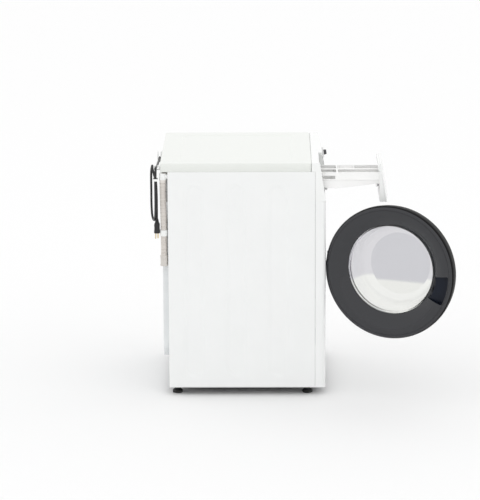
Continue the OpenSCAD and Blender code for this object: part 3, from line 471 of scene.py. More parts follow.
def curve_points(route: Sequence[Point], steps: int) -> list[Point]:
    """Points along a smooth curve through a route, in metres.

    Args:
        route: the route's own points.
        steps: how many points each stretch of it takes.

    Returns:
        The points of a Catmull-Rom spline, which passes through the route.
    """
    pts = [Vector(p) for p in route]
    out: list[Point] = []
    for i in range(len(pts) - 1):
        a, b, c, d = pts[max(i - 1, 0)], pts[i], pts[i + 1], pts[min(i + 2, len(pts) - 1)]
        for k in range(steps):
            t = k / steps
            p = 0.5 * (2 * b + (c - a) * t + (2 * a - 5 * b + 4 * c - d) * t**2 + (3 * b - a - 3 * c + d) * t**3)
            out.append(tuple(p))
    out.append(tuple(pts[-1]))
    return out


def path_length(points: Sequence[Point]) -> float:
    """The length of a line of points."""
    return sum((Vector(b) - Vector(a)).length for a, b in zip(points, points[1:]))


def swept(points: Sequence[Point], radius: Callable[[float], float], sides: int) -> list[Ring]:
    """Rings round a line of points, with a radius that depends on the distance along it."""
    pts = [Vector(p) for p in points]
    side = Vector((1.0, 0.2, 0.1))
    run = 0.0
    rings: list[Ring] = []
    for i, p in enumerate(pts):
        ahead = (pts[min(i + 1, len(pts) - 1)] - pts[max(i - 1, 0)]).normalized()
        side = (side - side.dot(ahead) * ahead).normalized()
        up = ahead.cross(side)
        if i:
            run += (p - pts[i - 1]).length
        size = radius(run)
        turns = [2 * math.pi * k / sides for k in range(sides)]
        rings.append([tuple(p + size * (math.cos(a) * side + math.sin(a) * up)) for a in turns])
    return rings


# ---- carried-over parts ----


@dataclass
class CarriedParts:
    """The CAD parts whose own shape is right: each gets its finish, and softened edges."""

    finishes: tuple[tuple[Finish, str], ...] = (
        (ZINC, "back_panel rear_cover top_rails spring_hangers"),
        (BASE, "base_pan"),
        (ENAMEL, "front_panel"),
        (BOARD, "top_board"),
        (WHITE, "control_panel drawer_front filter_door hose_fittings cord_holders"),
        (SMOKED, "display_window"),
        (CIRCUIT, "control_board"),
        (BUTTON, "power_button start_button temp_button spin_button"),
        (INNER, "dispenser_housing drawer_tray siphon_cap filter_frame"),
        (RED, "inlet_valve_hot"),
        (BLUE, "inlet_valve_cold pump_filter"),
        (TUB, "tub_rear tub_front"),
        (STEEL, "gasket_clamp heater bearings damper_rods hinge_arm hinge_bracket latch_hook"),
        (IRON, "counterweights"),
        (MOTOR, "motor_stator motor_rotor"),
        (LIFTER, "drum_lifters"),
        (ALLOY, "drum_spider"),
        (DARK, "damper_cylinders drain_pump door_lock"),
        (BRASS, "plug_pins"),
    )
    bevels: tuple[tuple[float, str], ...] = (
        (0.25, "plug_pins"),
        (0.35, "filter_door"),
        (0.4, "hinge_arm hinge_bracket"),
        (0.45, "drawer_tray front_panel"),
        (0.5, "rear_cover siphon_cap hose_fittings cord_holders"),
        (0.6, "dispenser_housing latch_hook inlet_valve_hot inlet_valve_cold"),
        (0.8, "control_panel power_button start_button temp_button spin_button base_pan door_lock pump_filter"),
        (1.2, "drawer_front"),
        (3.0, "drum_lifters"),
    )

    def dress(self) -> None:
        """Gives every carried part its finish and its softened edges."""
        for finish, nodes in self.finishes:
            for node in nodes.split():
                for place in bpy.data.objects[node].material_slots:
                    place.material = finish.material()
                LOG.info("part %s is finished in %s", node, finish.name)
        for width, nodes in self.bevels:
            for node in nodes.split():
                self._soften(bpy.data.objects[node], width * MM)

    @staticmethod
    def _soften(obj: bpy.types.Object, width: float) -> None:
        """Rounds a part's sharp edges by modifiers, which leave its own mesh as it is."""
        weld = obj.modifiers.new("weld", "WELD")
        weld.merge_threshold = 0.00001
        bevel = obj.modifiers.new("edges", "BEVEL")
        bevel.width = width
        bevel.segments = 2
        bevel.limit_method = "ANGLE"
        bevel.angle_limit = SHARP
        bevel.harden_normals = True
        bevel.use_clamp_overlap = True


# ---- cabinet ----


@dataclass
class Cabinet:
    """The painted cabinet's own sheet parts: two ribbed sides and the top plate."""

    sheet: float = 1.2 * MM
    flange: float = 18 * MM
    rib_half: float = 37 * MM
    rib_pitch: float = 150 * MM
    rib_middle: float = 38 * MM
    rib_low: float = 66 * MM
    rib_top_gap: float = 45 * MM
    rib_depth: float = 2.2 * MM
    rib_slope: float = 12 * MM
    grid: float = 5 * MM
    recess: float = 1.2 * MM

    def build(self) -> None:
        """Builds the sides and the top."""
        for side in Side:
            self._side(side)
        self._top()

    def _rib_press(self, y: float, z: float, low: float, high: float) -> float:
        """How far the sheet is pressed in at a place on the side."""
        deepest = 0.0
        for i in (-1, 0, 1):
            middle = self.rib_middle + i * self.rib_pitch
            reach = min(max(z, low), high)
            away = math.hypot(y - middle, z - reach)
            deepest = max(deepest, smooth_step((self.rib_half - away) / self.rib_slope))
        return deepest * self.rib_depth

    def _side(self, side: Side) -> None:
        """Builds one side panel as a folded, ribbed sheet."""
        node = f"side_panel_{side.name.lower()}"
        low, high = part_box(node)
        face = max(abs(low[0]), abs(high[0]))
        bend = 1.5 * MM
        rib_low = self.rib_low + self.rib_half
        rib_high = high[2] - self.rib_top_gap - self.rib_half

        def rows(start: float, end: float) -> list[Pair]:
            """Places across the sheet, each with how far it is folded in."""
            count = round((end - start - 2 * bend) / self.grid)
            middle = [(start + bend + (end - start - 2 * bend) * i / count, 0.0) for i in range(count + 1)]
            fold = [(bend * (1 - math.sin(a)), bend * (1 - math.cos(a))) for a in (0.4, 0.8, 1.2)]
            first = [(start, self.flange), (start, bend)] + [(start + p, q) for p, q in reversed(fold)]
            last = [(end - p, q) for p, q in fold] + [(end, bend), (end, self.flange)]
            return first + middle + last

        shape = Shape(ENAMEL)
        rings: list[Ring] = []
        for z, fold_z in rows(low[2], high[2]):
            ring: Ring = []
            for y, fold_y in rows(low[1], high[1]):
                press = max(fold_y, fold_z, self._rib_press(y, z, rib_low, rib_high))
                ring.append((side.value * (face - press), y, z))
            rings.append(ring)
        shape.loft(rings, caps=False, closed=False)
        panel = shape.make(f"{node}_sheet", sharp=60)
        thick = panel.modifiers.new("thickness", "SOLIDIFY")
        thick.thickness = self.sheet
        thick.offset = -1 if self._faces_out(panel, side) else 1
        apply_modifiers(panel)
        settle(panel, "cabinet", "painted_steel", node)

    @staticmethod
    def _faces_out(panel: bpy.types.Object, side: Side) -> bool:
        """Whether most of a side panel's faces look away from the cabinet."""
        total = sum(face.normal.x * face.area for face in panel.data.polygons)
        return total * side.value > 0

    def _top(self) -> None:
        """Builds the top plate as one moulding with a soft edge and a shallow sunken field."""
        low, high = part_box("top_plate")
        edge = 4.5 * MM

        def outline(inset: float, height: float) -> Ring:
            """The plate's outline, drawn smaller, at a height."""
            radius = max(10 * MM - inset, 3 * MM)
            return round_ring((low[0] + inset, low[1] + inset), (high[0] - inset, high[1] - inset), radius, height)

        def field_ring(inset: float, drop: float) -> Ring:
            """The sunken field's outline, drawn smaller, at a depth under the top."""
            corner_low = (-HALF_W + 80 * MM + inset, FRONT + 118 * MM + inset)
            corner_high = (HALF_W - 55 * MM - inset, BACK - 40 * MM - inset)
            return round_ring(corner_low, corner_high, 22 * MM - min(inset, 12 * MM), high[2] - drop)

        rings = [outline(inset, low[2] + up) for inset, up in mm((6, 14), (6, 1), (5.4, 0), (0.8, 0), (0, 0.8))]
        rings.append(outline(0, high[2] - edge))
        for step in range(1, 8):
            angle = math.pi / 2 * step / 7
            rings.append(outline(edge * (1 - math.cos(angle)), high[2] - edge * (1 - math.sin(angle))))
        rings += [outline(9 * MM, high[2]), field_ring(-8 * MM, 0), field_ring(-2 * MM, 0)]
        for step in range(7):
            share = step / 6
            rings.append(field_ring(-1 * MM + 6 * MM * share, self.recess * smooth_step(share)))
        rings += [field_ring(10 * MM, self.recess), field_ring(90 * MM, self.recess)]
        shape = Shape(TOP_WHITE)
        shape.loft(rings, caps=False)
        shape.faces.append(tuple(range(len(shape.verts) - len(rings[0]), len(shape.verts))))
        shape.marks.append(0)
        settle(shape.make("top_plate_moulding", sharp=50), "cabinet", "white_plastic", "top_plate")


@dataclass
class Feet:
    """Four screw feet: a rubber pad (in mm), a hexagon and a threaded stud each."""

    pad_radius: float = 18
    pad_height: float = 14
    thread_radius: float = 5 * MM
    thread_pitch: float = 1.5 * MM

    def build(self) -> None:
        """Builds each foot over its CAD part."""
        for row, side in (("front", "left"), ("front", "right"), ("rear", "left"), ("rear", "right")):
            node, body = f"foot_{row}_{side}", f"foot_{row[0]}{side[0]}"
            low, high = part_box(node)
            shape = Shape(FOOT, STEEL)
            here = Matrix.Translation(((low[0] + high[0]) / 2, (low[1] + high[1]) / 2, 0))
            r, h = self.pad_radius, self.pad_height
            pad = mm(
                (r - 3, 0), (r - 0.8, 0.4), (r, 1.6), (r, h - 5), (r - 1.2, h - 3.4), (r - 4, h - 1.2),
                (11, h), (11, h + 3.4), (10.4, h + 4),
            )
            shape.lathe(pad, here, 48)
            shape.lathe(self._stud((h + 4) * MM, high[2]), here, 24, mark=1)
            self._nut(shape, here, 20 * MM, 27 * MM)
            settle(shape.make(f"{node}_screw_foot"), body, "foot_rubber", node)

    def _stud(self, low: float, high: float) -> list[Pair]:
        """The profile of a threaded stud between two heights."""
        turns = int((high - low) / self.thread_pitch)
        rows: list[Pair] = []
        for i in range(turns):
            start = low + i * self.thread_pitch
            rows.append((self.thread_radius - 0.6 * MM, start))
            rows.append((self.thread_radius, start + self.thread_pitch / 2))
        rows.append((self.thread_radius - 0.6 * MM, high))
        return rows

    @staticmethod
    def _nut(shape: Shape, here: Matrix, low: float, high: float) -> None:
        """Adds a lock nut with slightly chamfered ends."""
        profile = [(9.2 * MM, low), (10 * MM, low + 0.6 * MM), (10 * MM, high - 0.6 * MM), (9.2 * MM, high)]
        shape.lathe(profile, here, 6, mark=1)


# ---- control panel ----


@dataclass
class ControlPanel:
    """What is on the control panel: the dial and the marks round it."""

    dial_x: float = 0.150
    dial_z: float = FASCIA_Z + 89 * MM
    dial_radius: float = 20 * MM
    grip_radius: float = 9.5 * MM
    dial_height: float = 16 * MM
    flutes: int = 24
    mark_count: int = 14
    mark_step: float = 20.0

    def build(self) -> None:
        """Builds the dial and the marks round it."""
        self._dial()
        self._marks()

    def _dial(self) -> None:
        """Builds the dial with its pale skirt, its fluted grip painted dark as a reflection of a dark band on a
        glossy dial, and its pointer.
        """
        here = fascia_frame(self.dial_x, self.dial_z)
        shape = Shape(DIAL, DIAL_PAINTED_REFLECTION, MARK)
        r, grip, top = self.dial_radius, self.grip_radius, self.dial_height
        skirt = [(r + a, b) for a, b in mm((-1, 1), (0, 1.8), (-0.3, 4.4), (-1.8, 5.7))]
        skirt += [(grip + 1.5 * MM, 6 * MM), (grip - 1 * MM, 5.6 * MM)]
        shape.lathe(skirt, here, 72)
        count = 6 * self.flutes
        angles = [2 * math.pi * k / count for k in range(count)]
        rings: list[Ring] = []
        for radius, height, depth in (
            (grip, 5 * MM, 0.0), (grip, 6.6 * MM, 0.5), (grip - 0.4 * MM, top - 2 * MM, 0.5),
            (grip - 1 * MM, top - 0.6 * MM, 0.15), (grip - 2 * MM, top, 0.0), (grip - 3 * MM, top - 0.7 * MM, 0.0),
            (1.5 * MM, top - 0.7 * MM, 0.0),
        ):
            sizes = [radius - depth * MM * (0.5 + 0.5 * math.cos(self.flutes * a)) for a in angles]
            points = [Vector((size * math.cos(a), size * math.sin(a), height)) for size, a in zip(sizes, angles)]
            rings.append([tuple(here @ p) for p in points])
        # the grip takes the dark finish: a painted reflection of a dark band
        shape.loft(rings, mark=1)
        shape.lathe([(3 * MM, -14 * MM), (3 * MM, 2 * MM)], here, 24, mark=1)
        pointer = Shape(MARK)
        pointer.box((-0.8 * MM, r - 8.5 * MM, 5.4 * MM), (0.8 * MM, r - 2.4 * MM, 6.2 * MM), radius=0.3 * MM)
        pointer.moved(here)
        start = len(shape.verts)
        shape.verts += pointer.verts
        shape.faces += [tuple(start + i for i in face) for face in pointer.faces]
        shape.marks += [2] * len(pointer.faces)
        settle(shape.make("program_dial_knob"), "dial", "dial_plastic", "program_dial")

    def _marks(self) -> None:
        """Builds the ring of small raised marks round the dial."""
        shape = Shape(MARK)
        for i in range(self.mark_count):
            angle = math.radians(90 + (i - (self.mark_count - 1) / 2) * self.mark_step)
            out = self.dial_radius + 6 * MM
            here = fascia_frame(self.dial_x + out * math.cos(angle), self.dial_z + out * math.sin(angle))
            shape.lathe(mm((0.9, -0.3), (0.9, 0.12), (0.6, 0.2)), here, 12)
        settle(shape.make("dial_marks"), "cabinet", "button_plastic")


# ---- drawer ----


@dataclass
class Drawer:
    """What the detergent drawer carries besides its own parts: a stiffening lip and its stop clip."""

    left: float = -290 * MM
    right: float = -100 * MM
    back: float = FRONT + 24 * MM
    tray_left: float = -275 * MM
    tray_top: float = 812 * MM
    travel: float = 215 * MM

    def build(self) -> None:
        """Builds the lip and the clip in the open drawer's place."""
        self._lip()
        self._clip()

    def _lip(self) -> None:
        """Builds the hollow lip that stiffens the drawer front's upper edge from behind."""
        back = self.back - self.travel
        shape = Shape(WHITE)
        rings = []
        for x, edge in (
            (self.left + 0.6 * MM, 0.8), (self.left + 1.4 * MM, 0.0),
            (self.right - 1.4 * MM, 0.0), (self.right - 0.6 * MM, 0.8),
        ):
            flat = mm(
                (-1, 808), (-0.1 - edge, 818.2), (5.5 - edge, 824), (7 - edge, 832),
                (7 - edge, 843.4 - edge), (5.6 - edge, 845.4 - edge), (-1, 846 - edge),
            )
            rings.append([(x, back + y, z) for y, z in flat])
        shape.loft(rings)
        settle(shape.make("drawer_front_lip"), "drawer", "white_plastic")

    def _clip(self) -> None:
        """Builds the dark clip that stops the drawer, under the tray behind the front."""
        x, back, z = self.tray_left, self.back - self.travel, self.tray_top
        shape = Shape(CLIP)
        for low, high in (((2, 6, -41), (13.6, 15.5, -36.5)), ((2, 3.5, -50), (5, 8, -42))):
            shape.box(*((x + a * MM, back + b * MM, z + c * MM) for a, b, c in (low, high)))
        settle(shape.make("drawer_stop_clip"), "drawer", "inner_plastic")


# ---- door ----


@dataclass
class Door:
    """The round door: a glossy tinted ring, a pressed glass bowl and a pale frame behind it."""

    radius: float = 0.240
    glass_radius: float = 0.160
    height: float = 54 * MM
    wall: float = 3 * MM
    bend: float = 12 * MM
    bowl_depth: float = 78 * MM
    glass: float = 5 * MM
    pocket_start: float = -27.0
    pocket_end: float = 1.0
    pocket_skew: float = -5.0
    pocket_floor: float = 33 * MM
    pocket_inner: float = 164.5 * MM
    pocket_outer: float = 222 * MM
    pocket_bend: float = 5 * MM
    pocket_steps: int = 18
    rim_rows: int = 9
    screw_circle: float = 205 * MM

    def build(self) -> None:
        """Builds the ring, its handle pocket, the glass and the frame."""
        self._ring()
        self._pocket()
        self._bowl()
        self._frame()

    @staticmethod
    def _circles(profile: Iterable[tuple[float, float, float]]) -> list[Ring]:
        """Rings of the closed door from (radius, distance out, height of the centre)."""
        return [front_ring(radius, out, center) for radius, out, center in profile]

    def _ring(self) -> None:
        """Builds the outer ring as a thin moulding whose glass opening sits above its centre."""
        r, top, bend, wall, g = self.radius, self.height, self.bend, self.wall, self.glass_radius
        side = [(r + x, y) for x, y in mm((-5, 5), (-4, 6), (-0.6, 27), (0, 29))]
        groove = [(r + x, top + y) for x, y in mm((-13.2, 0), (-13.6, -1), (-14.8, -1), (-15.2, -0.2), (-16.5, 0))]
        outer = side + arc((r - bend, top - bend), bend, 0, 90, 10) + groove
        inner = arc((r - bend, top - bend), bend - wall, 90, 0, 6)
        inner += [(r - wall, 28 * MM), (r - 5 * MM - wall, 5 * MM)]
        back = [(g + x, y, AXIS_Z) for x, y in mm((3.5, 27), (13, 33), (25, 41), (36, 46.2), (47, 49.4))]
        profile = [(*p, DOOR_Z) for p in outer] + self._dish(0) + back + [(*p, DOOR_Z) for p in inner]
        shape = Shape(TINTED, RIM_BLACK)
        shape.loft(self._circles(profile), wrap=True, mark=lambda i: int(i < self.rim_rows))
        ring = shape.make("door_ring_moulding", sharp=40)
        notch = self._block(-r - 10 * MM, -r + 16 * MM, -21, 62)
        cut(ring, [notch, self._sector(self.pocket_floor, top + 8 * MM, 0.25 * MM)])
        ring.data.transform(opened())
        settle(ring, "door", "ring_plastic", "door_ring")

    @staticmethod
    def _block(left: float, right: float, start: float, half: float) -> Shape:
        """A block to cut with, level with the door's centre; its start and half height are in mm."""
        shape = Shape(TINTED)
        shape.box((left, FRONT + start * MM, DOOR_Z - half * MM), (right, FRONT + 5 * MM, DOOR_Z + half * MM))
        return shape

    def _dish(self, lower: float) -> list[tuple[float, float, float]]:
        """The face that falls from the ring's rim to the glass, as (radius, distance out, centre's height)."""
        face = mm((44, 52.2), (34, 49), (24, 44.4), (15, 39.3), (8, 34.8), (2.4, 31))
        face += mm((0.9, 29.8), (0.5, 28.6), (0.5, 27))
        rim = (216 * MM, 53.9 * MM - lower, DOOR_Z + 1 * MM)
        return [rim] + [(self.glass_radius + x, y - lower, AXIS_Z) for x, y in face]

    def _sector(self, low: float, high: float, grow: float) -> Shape:
        """A block shaped as the pocket's sector of the ring.

        Args:
            low: distance out from the panel at which it starts.
            high: distance out at which it ends.
            grow: how much wider than the pocket it is on every side.
        """
        inner, outer = self.pocket_inner - grow, self.pocket_outer + grow
        more = math.degrees(grow / outer)
        start, end = self.pocket_start - more, self.pocket_end + more
        bend, steps = self.pocket_bend, self.pocket_steps
        turns = [math.radians(start + (end - start) * i / steps) for i in range(steps + 1)]
        skewed = [a + math.radians(self.pocket_skew) for a in reversed(turns)]
        rim: list[Pair] = []
        for radius, height, order, side in ((outer, DOOR_Z, turns, -1), (inner, AXIS_Z, skewed, 1)):
            first, last = order[0], order[-1]
            way = 1 if last > first else -1
            ends = way * bend / radius
            corner = ((side * bend, 0), (side * bend * 0.3, ends * 0.3), (0, ends))
            body = [a for a in order if (a - first - ends) * way > 0.01 and (last - ends - a) * way > 0.01]
            path = [(radius + inward, first + turn) for inward, turn in corner] + [(radius, a) for a in body]
            path += [(radius + inward, last - turn) for inward, turn in reversed(corner)]
            rim += [(size * math.cos(a), height + size * math.sin(a)) for size, a in path]
        shape = Shape(POCKET)
        shape.loft([[(x, FRONT - out, z) for x, z in rim] for out in (low, high)])
        return shape

    def _pocket(self) -> None:
        """Builds the sunken cup behind the ring's face in which fingers pull the door open."""
        over = Shape(POCKET)
        above = [(230 * MM, 70 * MM, DOOR_Z), (230 * MM, 53.6 * MM, DOOR_Z)]
        over.loft(self._circles(above + self._dish(0.5 * MM)))
        cup = self._sector(self.pocket_floor - 1.6 * MM, 56 * MM, 1.5 * MM).make("door_handle_cup")
        cut(cup, [self._sector(self.pocket_floor, 60 * MM, 0), over])
        cup.data.transform(opened())
        settle(cup, "door", "ring_plastic")

    def _bowl(self) -> None:
        """Builds the pressed glass bowl, with a stepped rim and a flat bottom."""
        g, t, deep = self.glass_radius, self.glass, self.bowl_depth
        curve = (g - 48 * MM, -deep + 37 * MM)
        inside = [(g + x, y) for x, y in mm((12, 26.5), (-2, 26.5), (-4.5, 24), (-5.5, 18), (-8, 0))]
        inside += arc(curve, 32 * MM, -8, -90, 14)
        inside += [(g - 80 * MM, -deep + 4.2 * MM), (20 * MM, -deep + 2.2 * MM)]
        outside = [(20 * MM, -deep - 2.8 * MM), (g - 80 * MM, -deep - 0.8 * MM)]
        outside += arc(curve, 32 * MM + t, -90, -8, 14)
        outside += [(g + x, y) for x, y in mm((-3, 0), (-0.8, 17), (1.5, 21.5), (12, 21.5))]
        shape = Shape(GLASS, GLASS_BASE)
        flat = g - 46 * MM
        front_faces, back_faces = (self._circles((*p, AXIS_Z) for p in side) for side in (inside, outside))
        shape.loft(front_faces, caps=False, mark=lambda i: int(inside[i][0] < flat))
        size = len(front_faces[0])
        base = len(front_faces) * size
        shape.loft(back_faces, caps=False, mark=lambda i: int(outside[i + 1][0] < flat))
        shape.faces.append(tuple(range(base - size, base)))
        shape.faces.append(tuple(range(base + size - 1, base - 1, -1)))
        end = len(shape.verts) - size
        for k in range(size):
            shape.faces.append((k, (k + 1) % size, end + (k + 1) % size, end + k))
        shape.marks += [1, 1] + [0] * size
        bowl = shape.make("door_bowl", sharp=50)
        bowl.data.transform(opened())
        settle(bowl, "door", "door_glass", "door_glass")

    def _frame(self) -> None:
        """Builds the pale frame that clamps the glass from behind, with its screws."""
        r, g = self.radius, self.glass_radius
        profile = [
            (start + x, y, height)
            for start, height, points in (
                (g, AXIS_Z, mm((2, 21.5), (2, 6), (3.5, 4.2), (6, 4))),
                (g, AXIS_Z - 2 * MM, mm((20, 4), (21, 5), (23, 5), (24, 4))),
                (r, DOOR_Z, mm((-18, 4), (-11, 4.4), (-9.4, 6), (-9, 14), (-12, 14), (-12, 7.5))),
                (g, AXIS_Z, mm((8, 7.5), (8, 21.5))),
            )
            for x, y in points
        ]
        shape = Shape(FRAME_GREY)
        shape.loft(self._circles(profile), wrap=True)
        plate = shape.make("door_frame_moulding", sharp=40)
        hook_x = r - 18 * MM
        hinge = self._block(-r - 10 * MM, -r + 22 * MM, -21, 60)
        cut(plate, [hinge, self._block(hook_x - 7 * MM, hook_x + 7 * MM, -20, 14)])
        plate.data.transform(opened())
        settle(plate, "door", "frame_plastic", "door_inner_frame")
        self._screws()

    def _screws(self) -> None:
        """Builds the screws that hold the frame to the ring."""
        shape = Shape(STEEL)
        for angle in range(22, 340, 45):
            a = math.radians(-angle)
            x, z = self.screw_circle * math.cos(a), self.screw_circle * math.sin(a)
            here = Matrix.Translation((x, FRONT - 3.9 * MM, DOOR_Z + z)) @ Matrix.Rotation(-math.pi / 2, 4, "X")
            shape.lathe(mm((4.2, 0), (4.2, 0.6), (3.2, 1.7), (1.4, 2.0), (1.2, 0.9)), here, 24)
        shape.moved(opened())
        settle(shape.make("door_frame_screws"), "door", "bright_steel")


# ---- drum, gasket and springs ----


@dataclass
class Drum:
    """The perforated steel drum, the rubber gasket in front of it and the springs that carry the tub."""

    radius: float = 0.235
    mouth: float = 0.168
    length: float = 0.326
    columns: int = 96
    rows: int = 20
    hole: float = 1.7 * MM
    sheet: float = 1 * MM
    hole_sides: int = 8
    spring_x: float = 222 * MM
    spring_y: float = 40 * MM

    def build(self) -> None:
        """Builds the drum, the gasket and the springs."""
        self._basket()
        self._gasket()
        self._springs()

    def _basket(self) -> None:
        """Builds the drum's wall with a hole in each cell, its ends and its rolled mouth."""
        low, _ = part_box("drum_basket")
        y0 = low[1] + 3 * MM
        y1 = y0 + self.length
        shape = Shape(DRUM)
        self._wall(shape, y0, y1)
        r, m = self.radius, self.mouth
        front = [(r + x, y) for x, y in mm((-0.05, 9), (-1, 5), (-4, 1.6), (-10, 0))]
        front += [(m + x, y) for x, y in mm((12, 0), (4, -1), (0, -3), (-1.6, -1), (-2, 8))]
        self._turned(shape, front, y0)
        back = [(r + x, y) for x, y in mm((-0.05, -9), (-1, -4), (-5, -0.6), (-14, 0))]
        back += mm((150, 0), (140, -5), (95, -7), (86, -2), (52, -2), (44, -9), (2, -10))
        self._turned(shape, back, y1)
        shape.faces.append(tuple(range(len(shape.verts) - self.columns, len(shape.verts))))
        shape.marks.append(0)
        drum = shape.make("drum_perforated", sharp=50)
        thick = drum.modifiers.new("thickness", "SOLIDIFY")
        thick.thickness = self.sheet
        thick.offset = -1
        apply_modifiers(drum)
        settle(drum, "drum", "drum_steel", "drum_basket")

    def _turned(self, shape: Shape, profile: Sequence[Pair], y: float) -> None:
        """Adds a surface turned about the drum's axis, with heights toward the back from y."""
        here = Matrix.Translation((0, y, AXIS_Z)) @ Matrix.Rotation(-math.pi / 2, 4, "X")
        shape.lathe(profile, here, self.columns, caps=False)

    def _wall(self, shape: Shape, y0: float, y1: float) -> None:
        """Adds the cylindrical wall, each of its cells pierced by a hole, with its four corners filled."""
        margin = 9 * MM
        step_y = (y1 - y0 - 2 * margin) / self.rows
        step_a = 2 * math.pi / self.columns
        sides = self.hole_sides
        angles = [2 * math.pi * k / sides + math.pi / sides for k in range(sides)]

        def at(turn: float, y: float) -> Point:
            """A point on the drum's wall."""
            return (self.radius * math.cos(turn), y, AXIS_Z + self.radius * math.sin(turn))

        for i in range(self.columns):
            for j in range(self.rows):
                turn, y = (i + 0.5) * step_a, y0 + margin + (j + 0.5) * step_y
                base = len(shape.verts)
                for angle in angles:
                    across, along = math.cos(angle), math.sin(angle)
                    reach = 0.5 / max(abs(across), abs(along))
                    shape.verts.append(at(turn + step_a * across * reach, y + step_y * along * reach))
                for angle in angles:
                    across, along = math.cos(angle), math.sin(angle)
                    shape.verts.append(at(turn + self.hole / self.radius * across, y + self.hole * along))
                for k in range(sides):
                    m = (k + 1) % sides
                    shape.faces.append((base + k, base + m, base + sides + m, base + sides + k))
                    shape.marks.append(0)
                for first, (sx, sy) in zip((0, 2, 4, 6), ((1, 1), (-1, 1), (-1, -1), (1, -1))):
                    shape.faces.append((base + first, len(shape.verts), base + first + 1))
                    shape.verts.append(at(turn + 0.5 * step_a * sx, y + 0.5 * step_y * sy))
                    shape.marks.append(0)

    def _gasket(self) -> None:
        """Builds the folded gasket between the front panel and the tub."""
        r, n, g, back = 189.7, 182.3, 155.8, -115.5
        outer = [(r + x, y) for x, y in (
            (0, -0.5), (0, -17), (-1.5, -24), (-3, -30), (-1.6, -38), (-1, -46), (-1.4, -58), (-2, -66), (-4, -74),
        )]
        outer += [(n + x, y) for x, y in (
            (1.4, -79), (2, -88), (3, back + 20), (3, back + 1), (0, back + 1), (0, back + 16),
        )]
        inner = [(n - 1.2, -86), (n - 4, -76), (n - 1, -70)]
        inner += [(r + x, y) for x, y in ((-6, -64), (-4.4, -56), (-4, -46), (-4.8, -37), (-7, -31), (-14, -28.4))]
        inner += [(g + x, y) for x, y in (
            (6, -26), (1.4, -22), (0, -16), (0.6, -13.8), (2.2, -14.2), (8, -20.5), (14, -20),
        )]
        inner += [(r - 5, -19), (r - 3, -17), (r - 3, -0.5)]
        shape = Shape(GASKET)
        shape.loft([front_ring(a, b, AXIS_Z, 144) for a, b in mm(*outer, *inner)], wrap=True)
        gasket = shape.make("door_gasket_bellows", sharp=50)
        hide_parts("door_gasket")
        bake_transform(gasket)
        LOG.info("piece %s joins the cabinet and the tub", gasket.name)

    def _springs(self) -> None:
        """Builds the suspension springs, whose hooks stay with the cabinet above and the tub below."""
        low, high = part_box("suspension_springs")
        turns, coil, wire, lead = 7, 12 * MM, 1.7 * MM, 10 * MM
        z0, z1 = low[2], high[2]
        for side in Side:
            points: list[Point] = [(0, 0, z0 + up * MM) for up in (0, 4, 7)]
            steps = 24 * turns
            for i in range(steps + 1):
                size = coil * min(1.0, i / 8, (steps - i) / 8)
                angle = math.radians(15 * i)
                height = z0 + lead + (z1 - z0 - 2 * lead) * i / steps
                points.append((size * math.cos(angle), size * math.sin(angle), height))
            points += [(0, 0, z1 - down * MM) for down in (7, 4, 0)]
            shape = Shape(STEEL)
            shape.loft(swept(points, lambda _: wire, 10))
            shape.moved(Matrix.Translation((side.value * self.spring_x, self.spring_y, 0)))
            name = f"suspension_spring_{side.name.lower()}"
            spring = shape.make(name, sharp=60)
            if side is Side.LEFT:
                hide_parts("suspension_springs")
            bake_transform(spring)
            LOG.info("piece %s joins the cabinet and the tub", name)


# ---- hose and cord ----


